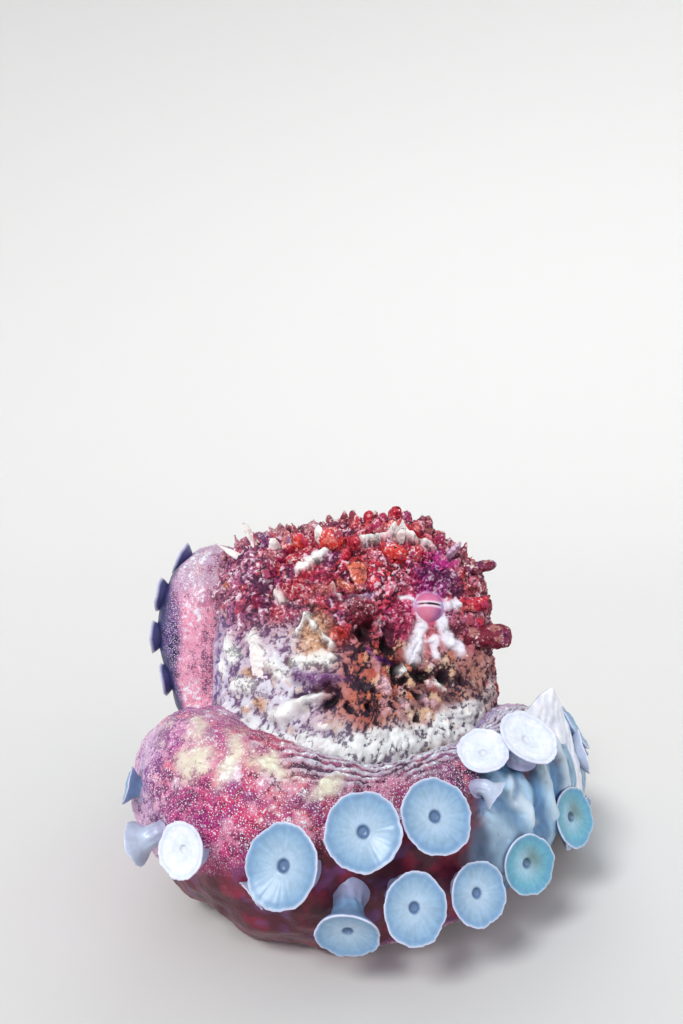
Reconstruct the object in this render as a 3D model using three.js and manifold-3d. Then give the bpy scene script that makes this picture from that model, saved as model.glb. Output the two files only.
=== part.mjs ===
// A life-size day octopus at rest, drawn up over its coiled arms: mantle, head, eyes, funnel, web and arms.
// Millimetres. +Z is up and the floor is z = 0. +X runs from the mantle towards the head, -Y is the animal's
// right side. The mantle and head are modelled whole and parted by one thin cut. Each arm is one bent, tapering
// form, divided into lengths, with its large suckers joined on.

import * as THREE from 'three';
import { mergeVertices } from 'three/addons/utils/BufferGeometryUtils.js';
import Module from 'manifold-3d';

const wasm = await Module();
wasm.setup();

// ---- driving sizes --------------------------------------------------------------------------------------

const GAP = 0.3; // clearance between two pieces that touch
const SINK = 1.5; // how far a soft arm presses flat against the floor
const TANGENT_STEP = 0.004; // share of an arm's length to either side of a point whose direction is taken
const FLOOR_BLOCK = 700; // size of the block that trims the flats
const CROWN = { x: -20, y: -15 }; // plan centre that the arms leave and circle
const FACING = THREE.MathUtils.degToRad(-25); // which way the head looks, turned from +X
const NECK = { x: -8, y: -10, heading: 4 }; // a point of the cut between mantle and head, and its facing

// Level sections of the two body forms: height, centre and half widths along X and Y.
const MANTLE_SECTIONS = [
  { z: 50, x: -28, y: -26, rx: 56, ry: 54 },
  { z: 58, x: -28, y: -23, rx: 67, ry: 63 },
  { z: 75, x: -30, y: -13, rx: 66, ry: 63 },
  { z: 97, x: -32, y: -3, rx: 65, ry: 61 },
  { z: 120, x: -33, y: 4, rx: 64, ry: 58 },
  { z: 138, x: -33, y: 8, rx: 62, ry: 50 },
  { z: 149, x: -31, y: 9, rx: 56, ry: 39 },
  { z: 157, x: -27, y: 9, rx: 40, ry: 25 },
];
const MANTLE_ENDS = { bottom: 46, top: 161 };
const HEAD_SECTIONS = [
  { z: 52, x: 8, y: -24, rx: 34, ry: 44 },
  { z: 62, x: 9, y: -22, rx: 39, ry: 50 },
  { z: 80, x: 12, y: -19, rx: 36, ry: 45 },
  { z: 100, x: 16, y: -16, rx: 31, ry: 34 },
  { z: 119, x: 18, y: -15, rx: 29, ry: 27 },
  { z: 138, x: 17, y: -10, rx: 27, ry: 25 },
  { z: 151, x: 14, y: -5, rx: 21, ry: 19 },
];
const HEAD_ENDS = { bottom: 48, top: 160 };
const BODY_SIDES = 20;

const WEB = { x: -25, y: -30, z: 30, rx: 75, ry: 62, rz: 40, sides: 18, rings: 9 };

const EYE = { radius: 8, height: 118, spread: 26, centre: { x: 23, y: -15 }, sides: 12, rings: 8 };

// The siphon's radii at its root and mouth, the lip round the mouth, and how far it turns from +Y towards +X.
const FUNNEL = {
  root: 9, mouth: 5.5, lip: 1, length: 34, dimple: 4, turn: 0.3, x: 26, y: 14, z: 76, sides: 12,
};

// Papillae are cones of few sides. sunk is the share of its length that a papilla's root goes on under the
// skin, and clearance is what a thin cone adds at its base and ends for each millimetre that it is grown.
const PAPILLA = { sides: 5, sunk: 0.6, clearance: 2 };

// The large papillae of the mantle: where each stands (its level heading from the mantle's axis, and its
// height), how wide and long it is, and how steeply it rises.
const PAPILLAE = [
  { heading: 200, z: 148, width: 9, length: 13, rise: 60 }, // pointed pair at the upper left
  { heading: 226, z: 155, width: 8, length: 12, rise: 70 },
  { heading: 246, z: 158, width: 8, length: 9, rise: 75 },
  { heading: 262, z: 157, width: 10, length: 8, rise: 75 },
  { heading: 292, z: 157, width: 10, length: 12, rise: 80 }, // crest above the head
  { heading: 318, z: 150, width: 9, length: 10, rise: 65 },
  { heading: 256, z: 108, width: 22, length: 14, rise: 25 }, // broad triangular flap on the right flank
  { heading: 238, z: 104, width: 12, length: 9, rise: 20 },
  { heading: 262, z: 84, width: 18, length: 10, rise: 5 },
  { heading: 190, z: 120, width: 10, length: 7, rise: 30 },
  { heading: 120, z: 140, width: 10, length: 10, rise: 55 },
  { heading: 150, z: 128, width: 11, length: 9, rise: 40 },
  { heading: 92, z: 120, width: 12, length: 9, rise: 30 },
  { heading: 170, z: 100, width: 11, length: 8, rise: 20 },
];
const CHEEK_PAPILLA = { x: 34, y: -38, z: 105, width: 13, length: 19, heading: -12, rise: 4 };
const BROW_PAPILLA = { x: 34, y: -32, z: 121, width: 7, length: 13, heading: -10, rise: 18 };

// Arm routes: heading from the crown, reach from it, height of the underside above the floor, and roll, which
// is 0 where the suckers face outward and 90 where they face down. tall and thick multiply the radius across
// and along the way the suckers face. radii are given along the arm, from 0 at the root to 1 at the tip.
const ARMS = [
  {
    name: 'arm_right_4',
    lengths: ['base', 'front', 'side', 'tip'],
    cuts: [0, 0.23, 0.48, 0.7, 1],
    steps: 8,
    sides: 10,
    route: [
      [-172, 32, 10, 60], [-152, 60, 4, 60], [-135, 84, 0, 45], [-115, 95, 0, 20], [-99, 95, 2, 6],
      [-83, 94, 6, -2], [-67, 91, 11, -6], [-51, 89, 17, -8], [-35, 88, 22, -6], [-18, 90, 17, 0],
      [6, 100, 4, 8], [32, 118, 0, 25], [56, 127, 0, 40], [74, 127, 0, 55], [82, 118, 0, 60],
    ],
    radii: [
      [0, 32], [0.1, 35], [0.2, 33], [0.3, 26.5], [0.42, 24.5], [0.54, 22.5], [0.7, 15], [0.86, 8.5],
      [1, 2.5],
    ],
    tall: [[0, 1.2], [0.2, 1.28], [0.3, 1.2], [0.55, 1.2], [0.75, 1.1], [1, 1]],
    thick: [[0, 1], [0.3, 0.86], [0.6, 0.86], [1, 1]],
    suckers: {
      first: 0.145,
      last: 0.62,
      sides: 8,
      sizes: [[0.145, 7.5], [0.2, 9.5], [0.25, 12.5], [0.5, 12.4], [1, 1.3]],
      steps: [[0.145, 1.65], [0.2, 1.15], [0.25, 0.88], [0.3, 0.8], [1, 0.86]],
      rows: [[0, 27], [0.33, 28], [0.41, 48], [0.58, 46], [1, 38]],
    },
  },
  {
    name: 'arm_left_4',
    lengths: ['base', 'rise', 'tip'],
    cuts: [0, 0.26, 0.58, 1],
    steps: 7,
    sides: 8,
    route: [
      [172, 42, 36, 20], [163, 77, 38, 0], [161, 89, 70, 0], [155, 91, 99, 0], [143, 105, 98, 0],
      [135, 126, 72, 0], [130, 137, 36, 20], [122, 141, 4, 40], [111, 138, 0, 60], [102, 133, 0, 70],
      [96, 123, 0, 70],
    ],
    radii: [[0, 20], [0.12, 23], [0.36, 23], [0.55, 17], [0.78, 9.5], [1, 2.5]],
    tall: [[0, 1], [1, 1]],
    thick: [[0, 1], [1, 1]],
    suckers: {
      first: 0.16,
      last: 0.46,
      sides: 6,
      sizes: [[0, 8], [0.36, 10], [1, 1.3]],
      steps: [[0, 0.95], [1, 0.95]],
      rows: [[0, 34], [1, 34]],
    },
  },
  {
    name: 'arm_right_3',
    lengths: ['base', 'middle', 'tip'],
    cuts: [0, 0.34, 0.66, 1],
    steps: 7,
    sides: 8,
    route: [
      [-60, 34, 30, 20], [-40, 62, 40, 10], [-22, 76, 44, 0], [-2, 84, 34, 0], [18, 92, 10, 20],
      [38, 100, 0, 45], [58, 102, 0, 60], [76, 100, 0, 60], [85, 91, 0, 60],
    ],
    radii: [[0, 16], [0.3, 15], [0.6, 11.5], [0.85, 6], [1, 2.5]],
    tall: [[0, 1], [1, 1]],
    thick: [[0, 1], [1, 1]],
  },
  {
    name: 'arm_left_3',
    lengths: ['base', 'middle', 'tip'],
    cuts: [0, 0.36, 0.68, 1],
    steps: 7,
    sides: 8,
    route: [
      [176, 38, 4, 60], [166, 66, 2, 60], [154, 88, 0, 45], [139, 101, 0, 45], [121, 104, 0, 55],
      [106, 102, 0, 60], [98, 93, 0, 60],
    ],
    radii: [[0, 17], [0.3, 16], [0.6, 12], [0.85, 6], [1, 2.5]],
    tall: [[0, 1], [1, 1]],
    thick: [[0, 1], [1, 1]],
  },
  {
    name: 'arm_right_2',
    lengths: ['base', 'middle', 'tip'],
    cuts: [0, 0.36, 0.68, 1],
    steps: 8,
    sides: 8,
    route: [
      [2, 32, 6, 60], [12, 54, 2, 60], [28, 70, 0, 50], [44, 73, 0, 50], [57, 75, 3, 40], [68, 82, 13, 20],
      [67, 91, 25, 10], [55, 93, 29, 30], [41, 89, 28, 50], [30, 82, 27, 60],
    ],
    radii: [[0, 16], [0.3, 13.5], [0.5, 10.5], [0.75, 7.5], [1, 2.5]],
    tall: [[0, 1], [1, 1]],
    thick: [[0, 1], [1, 1]],
  },
  {
    name: 'arm_left_2',
    lengths: ['base', 'middle', 'tip'],
    cuts: [0, 0.36, 0.68, 1],
    steps: 8,
    sides: 8,
    route: [
      [154, 36, 6, 60], [143, 60, 2, 60], [130, 73, 0, 50], [119, 77, 4, 40], [112, 84, 13, 20],
      [115, 93, 25, 10], [127, 94, 29, 30], [141, 90, 28, 50], [151, 82, 27, 60],
    ],
    radii: [[0, 16], [0.3, 13.5], [0.5, 10.5], [0.75, 7.5], [1, 2.5]],
    tall: [[0, 1], [1, 1]],
    thick: [[0, 1], [1, 1]],
  },
  {
    name: 'arm_right_1',
    lengths: ['base', 'middle', 'tip'],
    cuts: [0, 0.36, 0.68, 1],
    steps: 7,
    sides: 8,
    route: [
      [50, 30, 24, 60], [60, 50, 29, 60], [72, 64, 30, 50], [83, 74, 29, 40], [89, 87, 27, 40],
      [84, 99, 25, 40], [75, 102, 24, 50],
    ],
    radii: [[0, 14], [0.3, 12.5], [0.6, 9.5], [0.85, 5.5], [1, 2.5]],
    tall: [[0, 1], [1, 1]],
    thick: [[0, 1], [1, 1]],
  },
  {
    name: 'arm_left_1',
    lengths: ['base', 'middle', 'tip'],
    cuts: [0, 0.36, 0.68, 1],
    steps: 7,
    sides: 8,
    route: [
      [132, 30, 24, 60], [124, 48, 29, 60], [114, 62, 30, 50], [106, 74, 29, 40], [103, 87, 27, 40],
      [108, 99, 25, 40], [117, 102, 24, 50],
    ],
    radii: [[0, 14], [0.3, 12.5], [0.6, 9.5], [0.85, 5.5], [1, 2.5]],
    tall: [[0, 1], [1, 1]],
    thick: [[0, 1], [1, 1]],
  },
];

// Suckers stand in two rows that alternate. Along the arm, sizes gives their radii, steps the way from one to
// the next in radii, and rows how many degrees a row stands to either side of the middle of the under face.
// stalk is a share of the radius, tip is how far the mouths turn up, and splay how far the rows turn apart.
const SUCKER = { stalk: 0.5, tip: 20, splay: 0.5 };
// Half section of a sucker from its sunk root to the middle of its mouth: way out in radii, height in stalks.
const SUCKER_SECTION = [
  [0, -1],
  [0.52, 0.5],
  [1, 1.3],
  [0.93, 1.5],
  [0, 1.1],
];

// The pointed flap of web that stands up from the front right arm, on the length named here. sunk is the share
// of its rise that goes on below that height.
const FLAP = {
  arm: 'arm_right_4', part: 'side', heading: -40, reach: 101, height: 64,
  width: 76, thickness: 9, rise: 36, sunk: 0.5,
};

const SKIN = { colour: 0xa8433f, roughness: 0.45 };
const ARM_SKIN = { colour: 0xb06a78, roughness: 0.42 };
const EYE_SKIN = { colour: 0xd98a86, roughness: 0.15 };

// ---- solids ---------------------------------------------------------------------------------------------

function signedVolume(positions, triangles) {
  const corner = (index) => new THREE.Vector3().fromArray(positions, index * 3);
  let volume = 0;
  for (let i = 0; i < triangles.length; i += 3) {
    const [a, b, c] = [corner(triangles[i]), corner(triangles[i + 1]), corner(triangles[i + 2])];
    volume += a.dot(b.cross(c)) / 6;
  }
  return volume;
}

// A closed geometry as a manifold solid with its faces pointing out.
function solid(geometry) {
  const bare = geometry.clone();
  bare.deleteAttribute('normal');
  bare.deleteAttribute('uv');
  const merged = mergeVertices(bare, 1e-3);
  const positions = new Float32Array(merged.attributes.position.array);
  const triangles = [];
  for (let i = 0; i < merged.index.count; i += 3) {
    const [a, b, c] = [merged.index.getX(i), merged.index.getX(i + 1), merged.index.getX(i + 2)];
    if (a !== b && b !== c && c !== a) {
      triangles.push(a, b, c);
    }
  }
  if (signedVolume(positions, triangles) < 0) {
    triangles.reverse();
  }
  return new wasm.Manifold(new wasm.Mesh({
    numProp: 3,
    vertProperties: positions,
    triVerts: new Uint32Array(triangles),
  }));
}

// The main piece of a cut solid, without the slivers that a cut may leave beside it.
function mainPiece(body) {
  return body.decompose().reduce((main, piece) => (piece.volume() > main.volume() ? piece : main));
}

function geometryOf(body) {
  const mesh = body.getMesh();
  const geometry = new THREE.BufferGeometry();
  geometry.setAttribute('position', new THREE.BufferAttribute(new Float32Array(mesh.vertProperties), 3));
  geometry.setIndex(new THREE.BufferAttribute(new Uint32Array(mesh.triVerts), 1));
  return geometry;
}

function moveVertices(geometry, place) {
  const position = geometry.attributes.position;
  const point = new THREE.Vector3();
  for (let i = 0; i < position.count; i += 1) {
    place(point.fromBufferAttribute(position, i));
    position.setXYZ(i, point.x, point.y, point.z);
  }
  return geometry;
}

// The value at t of a list of [t, value] stops, straight from one stop to the next.
function at(stops, t) {
  const next = stops.findIndex((stop) => stop[0] >= t);
  if (next <= 0) {
    return next === 0 ? stops[0][1] : stops[stops.length - 1][1];
  }
  const [t0, v0] = stops[next - 1];
  const [t1, v1] = stops[next];
  return THREE.MathUtils.mapLinear(t, t0, t1, v0, v1);
}

const floorBlock = solid(new THREE.BoxGeometry(FLOOR_BLOCK, FLOOR_BLOCK, FLOOR_BLOCK)
  .translate(0, 0, -FLOOR_BLOCK / 2));

// ---- mantle and head ------------------------------------------------------------------------------------

// A rounded form through level oval sections, closed to a point at both ends, grown outward by grow.
function sectionedForm(sections, ends, grow) {
  const heights = [ends.bottom - grow, ...sections.map((section) => section.z), ends.top + grow];
  const profile = heights.map((z, i) => new THREE.Vector2(i === 0 || i === heights.length - 1 ? 0 : 1, z));
  const stops = (key) => sections.map((section) => [section.z, section[key]]);
  const form = new THREE.LatheGeometry(profile, BODY_SIDES);
  return moveVertices(form, (point) => {
    const { x, y: z, z: side } = point;
    point.set(
      at(stops('x'), z) + x * (at(stops('rx'), z) + grow),
      at(stops('y'), z) - side * (at(stops('ry'), z) + grow),
      z,
    );
  });
}

// A papilla: a cone of few sides with its root sunk in the skin.
function papilla({ x, y, z, width, length, heading, rise }, grow) {
  const whole = length * (1 + PAPILLA.sunk);
  const spare = PAPILLA.clearance * grow;
  const cone = new THREE.ConeGeometry(width / 2 + spare, whole + 2 * spare, PAPILLA.sides);
  cone.translate(0, whole / 2 - length * PAPILLA.sunk, 0);
  const turn = THREE.MathUtils.degToRad(heading);
  const lift = THREE.MathUtils.degToRad(rise);
  const level = Math.cos(lift);
  const along = new THREE.Vector3(Math.cos(turn) * level, Math.sin(turn) * level, Math.sin(lift));
  const aim = new THREE.Quaternion().setFromUnitVectors(new THREE.Vector3(0, 1, 0), along);
  return solid(cone.applyQuaternion(aim).translate(x, y, z));
}

function mantlePapilla({ heading, z, ...size }, grow) {
  const turn = THREE.MathUtils.degToRad(heading);
  const stops = (key) => MANTLE_SECTIONS.map((section) => [section.z, section[key]]);
  const x = at(stops('x'), z) + Math.cos(turn) * at(stops('rx'), z);
  const y = at(stops('y'), z) + Math.sin(turn) * at(stops('ry'), z);
  return papilla({ x, y, z, heading, ...size }, grow);
}

function wholeBody(grow) {
  let body = solid(sectionedForm(MANTLE_SECTIONS, MANTLE_ENDS, grow))
    .add(solid(sectionedForm(HEAD_SECTIONS, HEAD_ENDS, grow)));
  for (const place of PAPILLAE) {
    body = body.add(mantlePapilla(place, grow));
  }
  return body.add(papilla(CHEEK_PAPILLA, grow)).add(papilla(BROW_PAPILLA, grow));
}

// The half space ahead of the neck cut (side 1) or behind it (side -1), less half the gap.
function neckSide(side) {
  const block = new THREE.BoxGeometry(FLOOR_BLOCK, FLOOR_BLOCK, FLOOR_BLOCK);
  block.translate(side * (FLOOR_BLOCK / 2 + GAP / 2), 0, 0);
  return solid(block.rotateZ(THREE.MathUtils.degToRad(NECK.heading)).translate(NECK.x, NECK.y, 0));
}

// ---- eyes, funnel and web -------------------------------------------------------------------------------

// side is 1 for the animal's right eye and -1 for its left.
function eyeBall(side, grow) {
  const ball = new THREE.SphereGeometry(EYE.radius + grow, EYE.sides, EYE.rings);
  const x = EYE.centre.x + side * Math.sin(FACING) * EYE.spread;
  const y = EYE.centre.y - side * Math.cos(FACING) * EYE.spread;
  return solid(ball.translate(x, y, EYE.height));
}

// The siphon: a tapering tube with a dimpled mouth, on the far side below the head.
function funnel(grow) {
  const profile = [
    [0, -FUNNEL.length / 2],
    [FUNNEL.root + grow, -FUNNEL.length / 2],
    [(FUNNEL.root + FUNNEL.mouth) / 2 + grow, FUNNEL.length / 4],
    [FUNNEL.mouth + FUNNEL.lip + grow, FUNNEL.length / 2],
    [FUNNEL.mouth - FUNNEL.lip, FUNNEL.length / 2 + grow],
    [0, FUNNEL.length / 2 - FUNNEL.dimple + grow],
  ].map(([radius, y]) => new THREE.Vector2(radius, y));
  const tube = new THREE.LatheGeometry(profile, FUNNEL.sides);
  return solid(tube.rotateZ(-FUNNEL.turn).translate(FUNNEL.x, FUNNEL.y, FUNNEL.z));
}

function web(grow) {
  const dome = new THREE.SphereGeometry(1, WEB.sides, WEB.rings).rotateX(Math.PI / 2);
  dome.scale(WEB.rx + grow, WEB.ry + grow, WEB.rz + grow).translate(WEB.x, WEB.y, WEB.z);
  return solid(dome);
}

// ---- arms -----------------------------------------------------------------------------------------------

// The middle line of an arm: a smooth curve through its route, whose third coordinate is the clearance below.
function middleLine(arm) {
  const points = arm.route.map(([heading, reach, clearance]) => {
    const turn = THREE.MathUtils.degToRad(heading);
    return new THREE.Vector3(CROWN.x + reach * Math.cos(turn), CROWN.y + reach * Math.sin(turn), clearance);
  });
  return new THREE.CatmullRomCurve3(points);
}

// Where an arm is at u: its middle, the half widths of its section, and its roll.
function station(arm, line, u) {
  const span = Math.min(Math.max(u, 0), 1);
  const radius = at(arm.radii, span);
  const tall = radius * at(arm.tall, span);
  const thick = radius * at(arm.thick, span);
  const rolls = arm.route.map((stop, i) => [i / (arm.route.length - 1), stop[3]]);
  const roll = THREE.MathUtils.degToRad(at(rolls, line.getUtoTmapping(span)));
  const middle = line.getPointAt(span);
  middle.z += Math.hypot(thick * Math.sin(roll), tall * Math.cos(roll)) - SINK;
  return { middle, tall, thick, roll };
}

// The same with the three directions there: along the arm, under it where the suckers face, and across it.
function frame(arm, line, u) {
  const here = station(arm, line, u);
  const along = station(arm, line, u + TANGENT_STEP).middle
    .sub(station(arm, line, u - TANGENT_STEP).middle)
    .normalize();
  const out = new THREE.Vector3(here.middle.x - CROWN.x, here.middle.y - CROWN.y, 0).normalize();
  const under = out.multiplyScalar(Math.cos(here.roll)).add(new THREE.Vector3(0, 0, -Math.sin(here.roll)));
  under.addScaledVector(along, -under.dot(along)).normalize();
  const across = new THREE.Vector3().crossVectors(under, along);
  return { ...here, along, under, across };
}

// One length of an arm, from u0 to u1, grown outward by grow.
function armLength(arm, line, u0, u1, grow) {
  const tube = new THREE.CylinderGeometry(1, 1, 1, arm.sides, arm.steps);
  const bent = moveVertices(tube, (point) => {
    const { middle, under, across, tall, thick } = frame(arm, line, u0 + (0.5 - point.y) * (u1 - u0));
    const [outward, sideways] = [point.x * (thick + grow), point.z * (tall + grow)];
    point.copy(middle).addScaledVector(under, outward).addScaledVector(across, sideways);
  });
  return solid(bent);
}

// A sucker: a stalk that flares to a shallow dish, with its root sunk in the arm.
function sucker(radius, sides) {
  const stalk = radius * SUCKER.stalk;
  const profile = SUCKER_SECTION.map(([out, up]) => new THREE.Vector2(radius * out, stalk * up));
  return new THREE.LatheGeometry(profile, sides);
}

// Both rows of suckers on an arm, each as {u, body}: they alternate, and shrink with the arm.
function suckersOf(arm, line) {
  const list = [];
  const length = line.getLength();
  let u = arm.suckers.first;
  for (let row = 1; u < arm.suckers.last; row = -row) {
    const { middle, under, across, tall, thick } = frame(arm, line, u);
    const size = at(arm.suckers.sizes, u);
    const angle = THREE.MathUtils.degToRad(at(arm.suckers.rows, u)) * row;
    const foot = middle
      .addScaledVector(under, thick * Math.cos(angle))
      .addScaledVector(across, tall * Math.sin(angle));
    const facing = under.clone().addScaledVector(across, Math.sin(angle) * SUCKER.splay);
    facing.z += Math.tan(THREE.MathUtils.degToRad(SUCKER.tip));
    const aim = new THREE.Quaternion().setFromUnitVectors(new THREE.Vector3(0, 1, 0), facing.normalize());
    const cup = sucker(size, arm.suckers.sides).applyQuaternion(aim).translate(foot.x, foot.y, foot.z);
    list.push({ u, body: solid(cup) });
    u += (size * at(arm.suckers.steps, u)) / length;
  }
  return list;
}

function webFlap() {
  const fin = new THREE.ConeGeometry(FLAP.width / 2, FLAP.rise * (1 + FLAP.sunk), 4);
  fin.scale(1, 1, FLAP.thickness / FLAP.width).rotateX(Math.PI / 2);
  const turn = THREE.MathUtils.degToRad(FLAP.heading);
  fin.rotateZ(turn + Math.PI / 2);
  fin.translate(CROWN.x + FLAP.reach * Math.cos(turn), CROWN.y + FLAP.reach * Math.sin(turn), FLAP.height);
  return solid(fin);
}

// ---- the octopus ----------------------------------------------------------------------------------------

const octopus = new THREE.Group();

function addPart(name, body, { colour, roughness }) {
  const material = new THREE.MeshStandardMaterial({ color: colour, roughness, metalness: 0 });
  const mesh = new THREE.Mesh(geometryOf(body), material);
  mesh.name = name;
  octopus.add(mesh);
}

const eyes = [['eye_right', 1], ['eye_left', -1]];
let body = wholeBody(0);
for (const [name, side] of eyes) {
  body = body.subtract(eyeBall(side, GAP));
  addPart(name, eyeBall(side, 0), EYE_SKIN);
}
addPart('mantle', body.intersect(neckSide(-1)), SKIN);
addPart('head', body.intersect(neckSide(1)), SKIN);

// Each piece is cut back from the ones before it, so that the gap is kept wherever they touch.
const taken = [wholeBody(GAP)];

function boxesMeet(one, other) {
  const [a, b] = [one.boundingBox(), other.boundingBox()];
  return [0, 1, 2].every((axis) => a.min[axis] <= b.max[axis] && b.min[axis] <= a.max[axis]);
}

function addClear(name, made, grown, look) {
  let clear = made.subtract(floorBlock);
  for (const other of taken.filter((body) => boxesMeet(body, made))) {
    clear = clear.subtract(other);
  }
  clear = mainPiece(clear);
  addPart(name, clear, look);
  taken.push(grown, clear);
}

addClear('funnel', funnel(0), funnel(GAP), SKIN);
addClear('web', web(0), web(GAP), SKIN);

for (const arm of ARMS) {
  const line = middleLine(arm);
  const rows = arm.suckers ? suckersOf(arm, line) : [];
  const half = GAP / 2 / line.getLength();
  arm.lengths.forEach((part, i) => {
    const [u0, u1] = [arm.cuts[i] + half, arm.cuts[i + 1] - half];
    let made = armLength(arm, line, u0, u1, 0);
    let grown = armLength(arm, line, arm.cuts[i], arm.cuts[i + 1], GAP);
    for (const cup of rows.filter(({ u }) => u >= arm.cuts[i] && u < arm.cuts[i + 1])) {
      made = made.add(cup.body);
      grown = grown.add(cup.body);
    }
    if (arm.name === FLAP.arm && part === FLAP.part) {
      made = made.add(webFlap());
    }
    addClear(`${arm.name}_${part}`, made, grown, ARM_SKIN);
  });
}

export default octopus;
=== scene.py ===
"""The dressed model of a life-size day octopus at rest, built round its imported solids.

Lengths are in millimetres until a mesh is made. +Z is up, the floor is z = 0, +X runs from the mantle to the head
and -Y is the animal's right side. The arms repeat the routes of the solids.
"""
import itertools
import math

import bpy
import numpy as np
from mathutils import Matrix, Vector


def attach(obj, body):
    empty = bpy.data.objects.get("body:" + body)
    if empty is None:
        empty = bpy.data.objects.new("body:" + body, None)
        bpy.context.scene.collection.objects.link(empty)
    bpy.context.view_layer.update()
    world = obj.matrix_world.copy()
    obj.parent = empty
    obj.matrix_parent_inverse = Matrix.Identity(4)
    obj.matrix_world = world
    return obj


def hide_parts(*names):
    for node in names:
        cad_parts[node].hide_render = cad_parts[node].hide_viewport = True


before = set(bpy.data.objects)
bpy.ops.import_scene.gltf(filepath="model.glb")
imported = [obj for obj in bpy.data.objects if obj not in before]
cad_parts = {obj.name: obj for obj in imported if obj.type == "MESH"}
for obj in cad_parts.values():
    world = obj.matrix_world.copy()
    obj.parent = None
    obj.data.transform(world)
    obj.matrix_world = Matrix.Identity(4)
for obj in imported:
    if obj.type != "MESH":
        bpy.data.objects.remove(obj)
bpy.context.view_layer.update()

MM = 0.001
UP = np.array([0.0, 0.0, 1.0])

# ---- the forms of the solids -----------------------------

SINK = 1.5  # how far a soft arm presses flat against the floor
CROWN = np.array([-20.0, -15.0, 0.0])  # plan centre that the arms leave and circle
MANTLE = [  # height, centre x and y, half widths
    (46, -28, -26, 0, 0), (50, -28, -26, 56, 54), (58, -28, -23, 67, 63), (75, -30, -13, 66, 63),
    (97, -32, -3, 65, 61), (120, -33, 4, 64, 58), (138, -33, 8, 62, 50), (149, -31, 9, 56, 39),
    (157, -27, 9, 40, 25), (161, -27, 9, 0, 0),
]
HEAD = [
    (48, 8, -24, 0, 0), (52, 8, -24, 34, 44), (62, 9, -22, 39, 50), (80, 12, -19, 36, 45), (100, 16, -16, 31, 34),
    (119, 18, -15, 29, 27), (138, 17, -10, 27, 25), (151, 14, -5, 21, 19), (160, 14, -5, 0, 0),
]
BODY_CENTRE = np.array([-18.0, -14.0, 98.0])
EYE_RADIUS = 8.0
EYES = {"eye_right": np.array([12.0, -38.6, 118.0]), "eye_left": np.array([34.0, 8.6, 118.0])}
FACING = math.radians(-25)  # which way the head looks, turned from +X
WEB = {"centre": (-25, -30, 30), "half": (75, 62, 40)}
FUNNEL_AT = np.array([26.0, 14.0, 76.0])

EVEN = [(0, 1), (1, 1)]
TIP = [(0, 34), (1, 34)]
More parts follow.
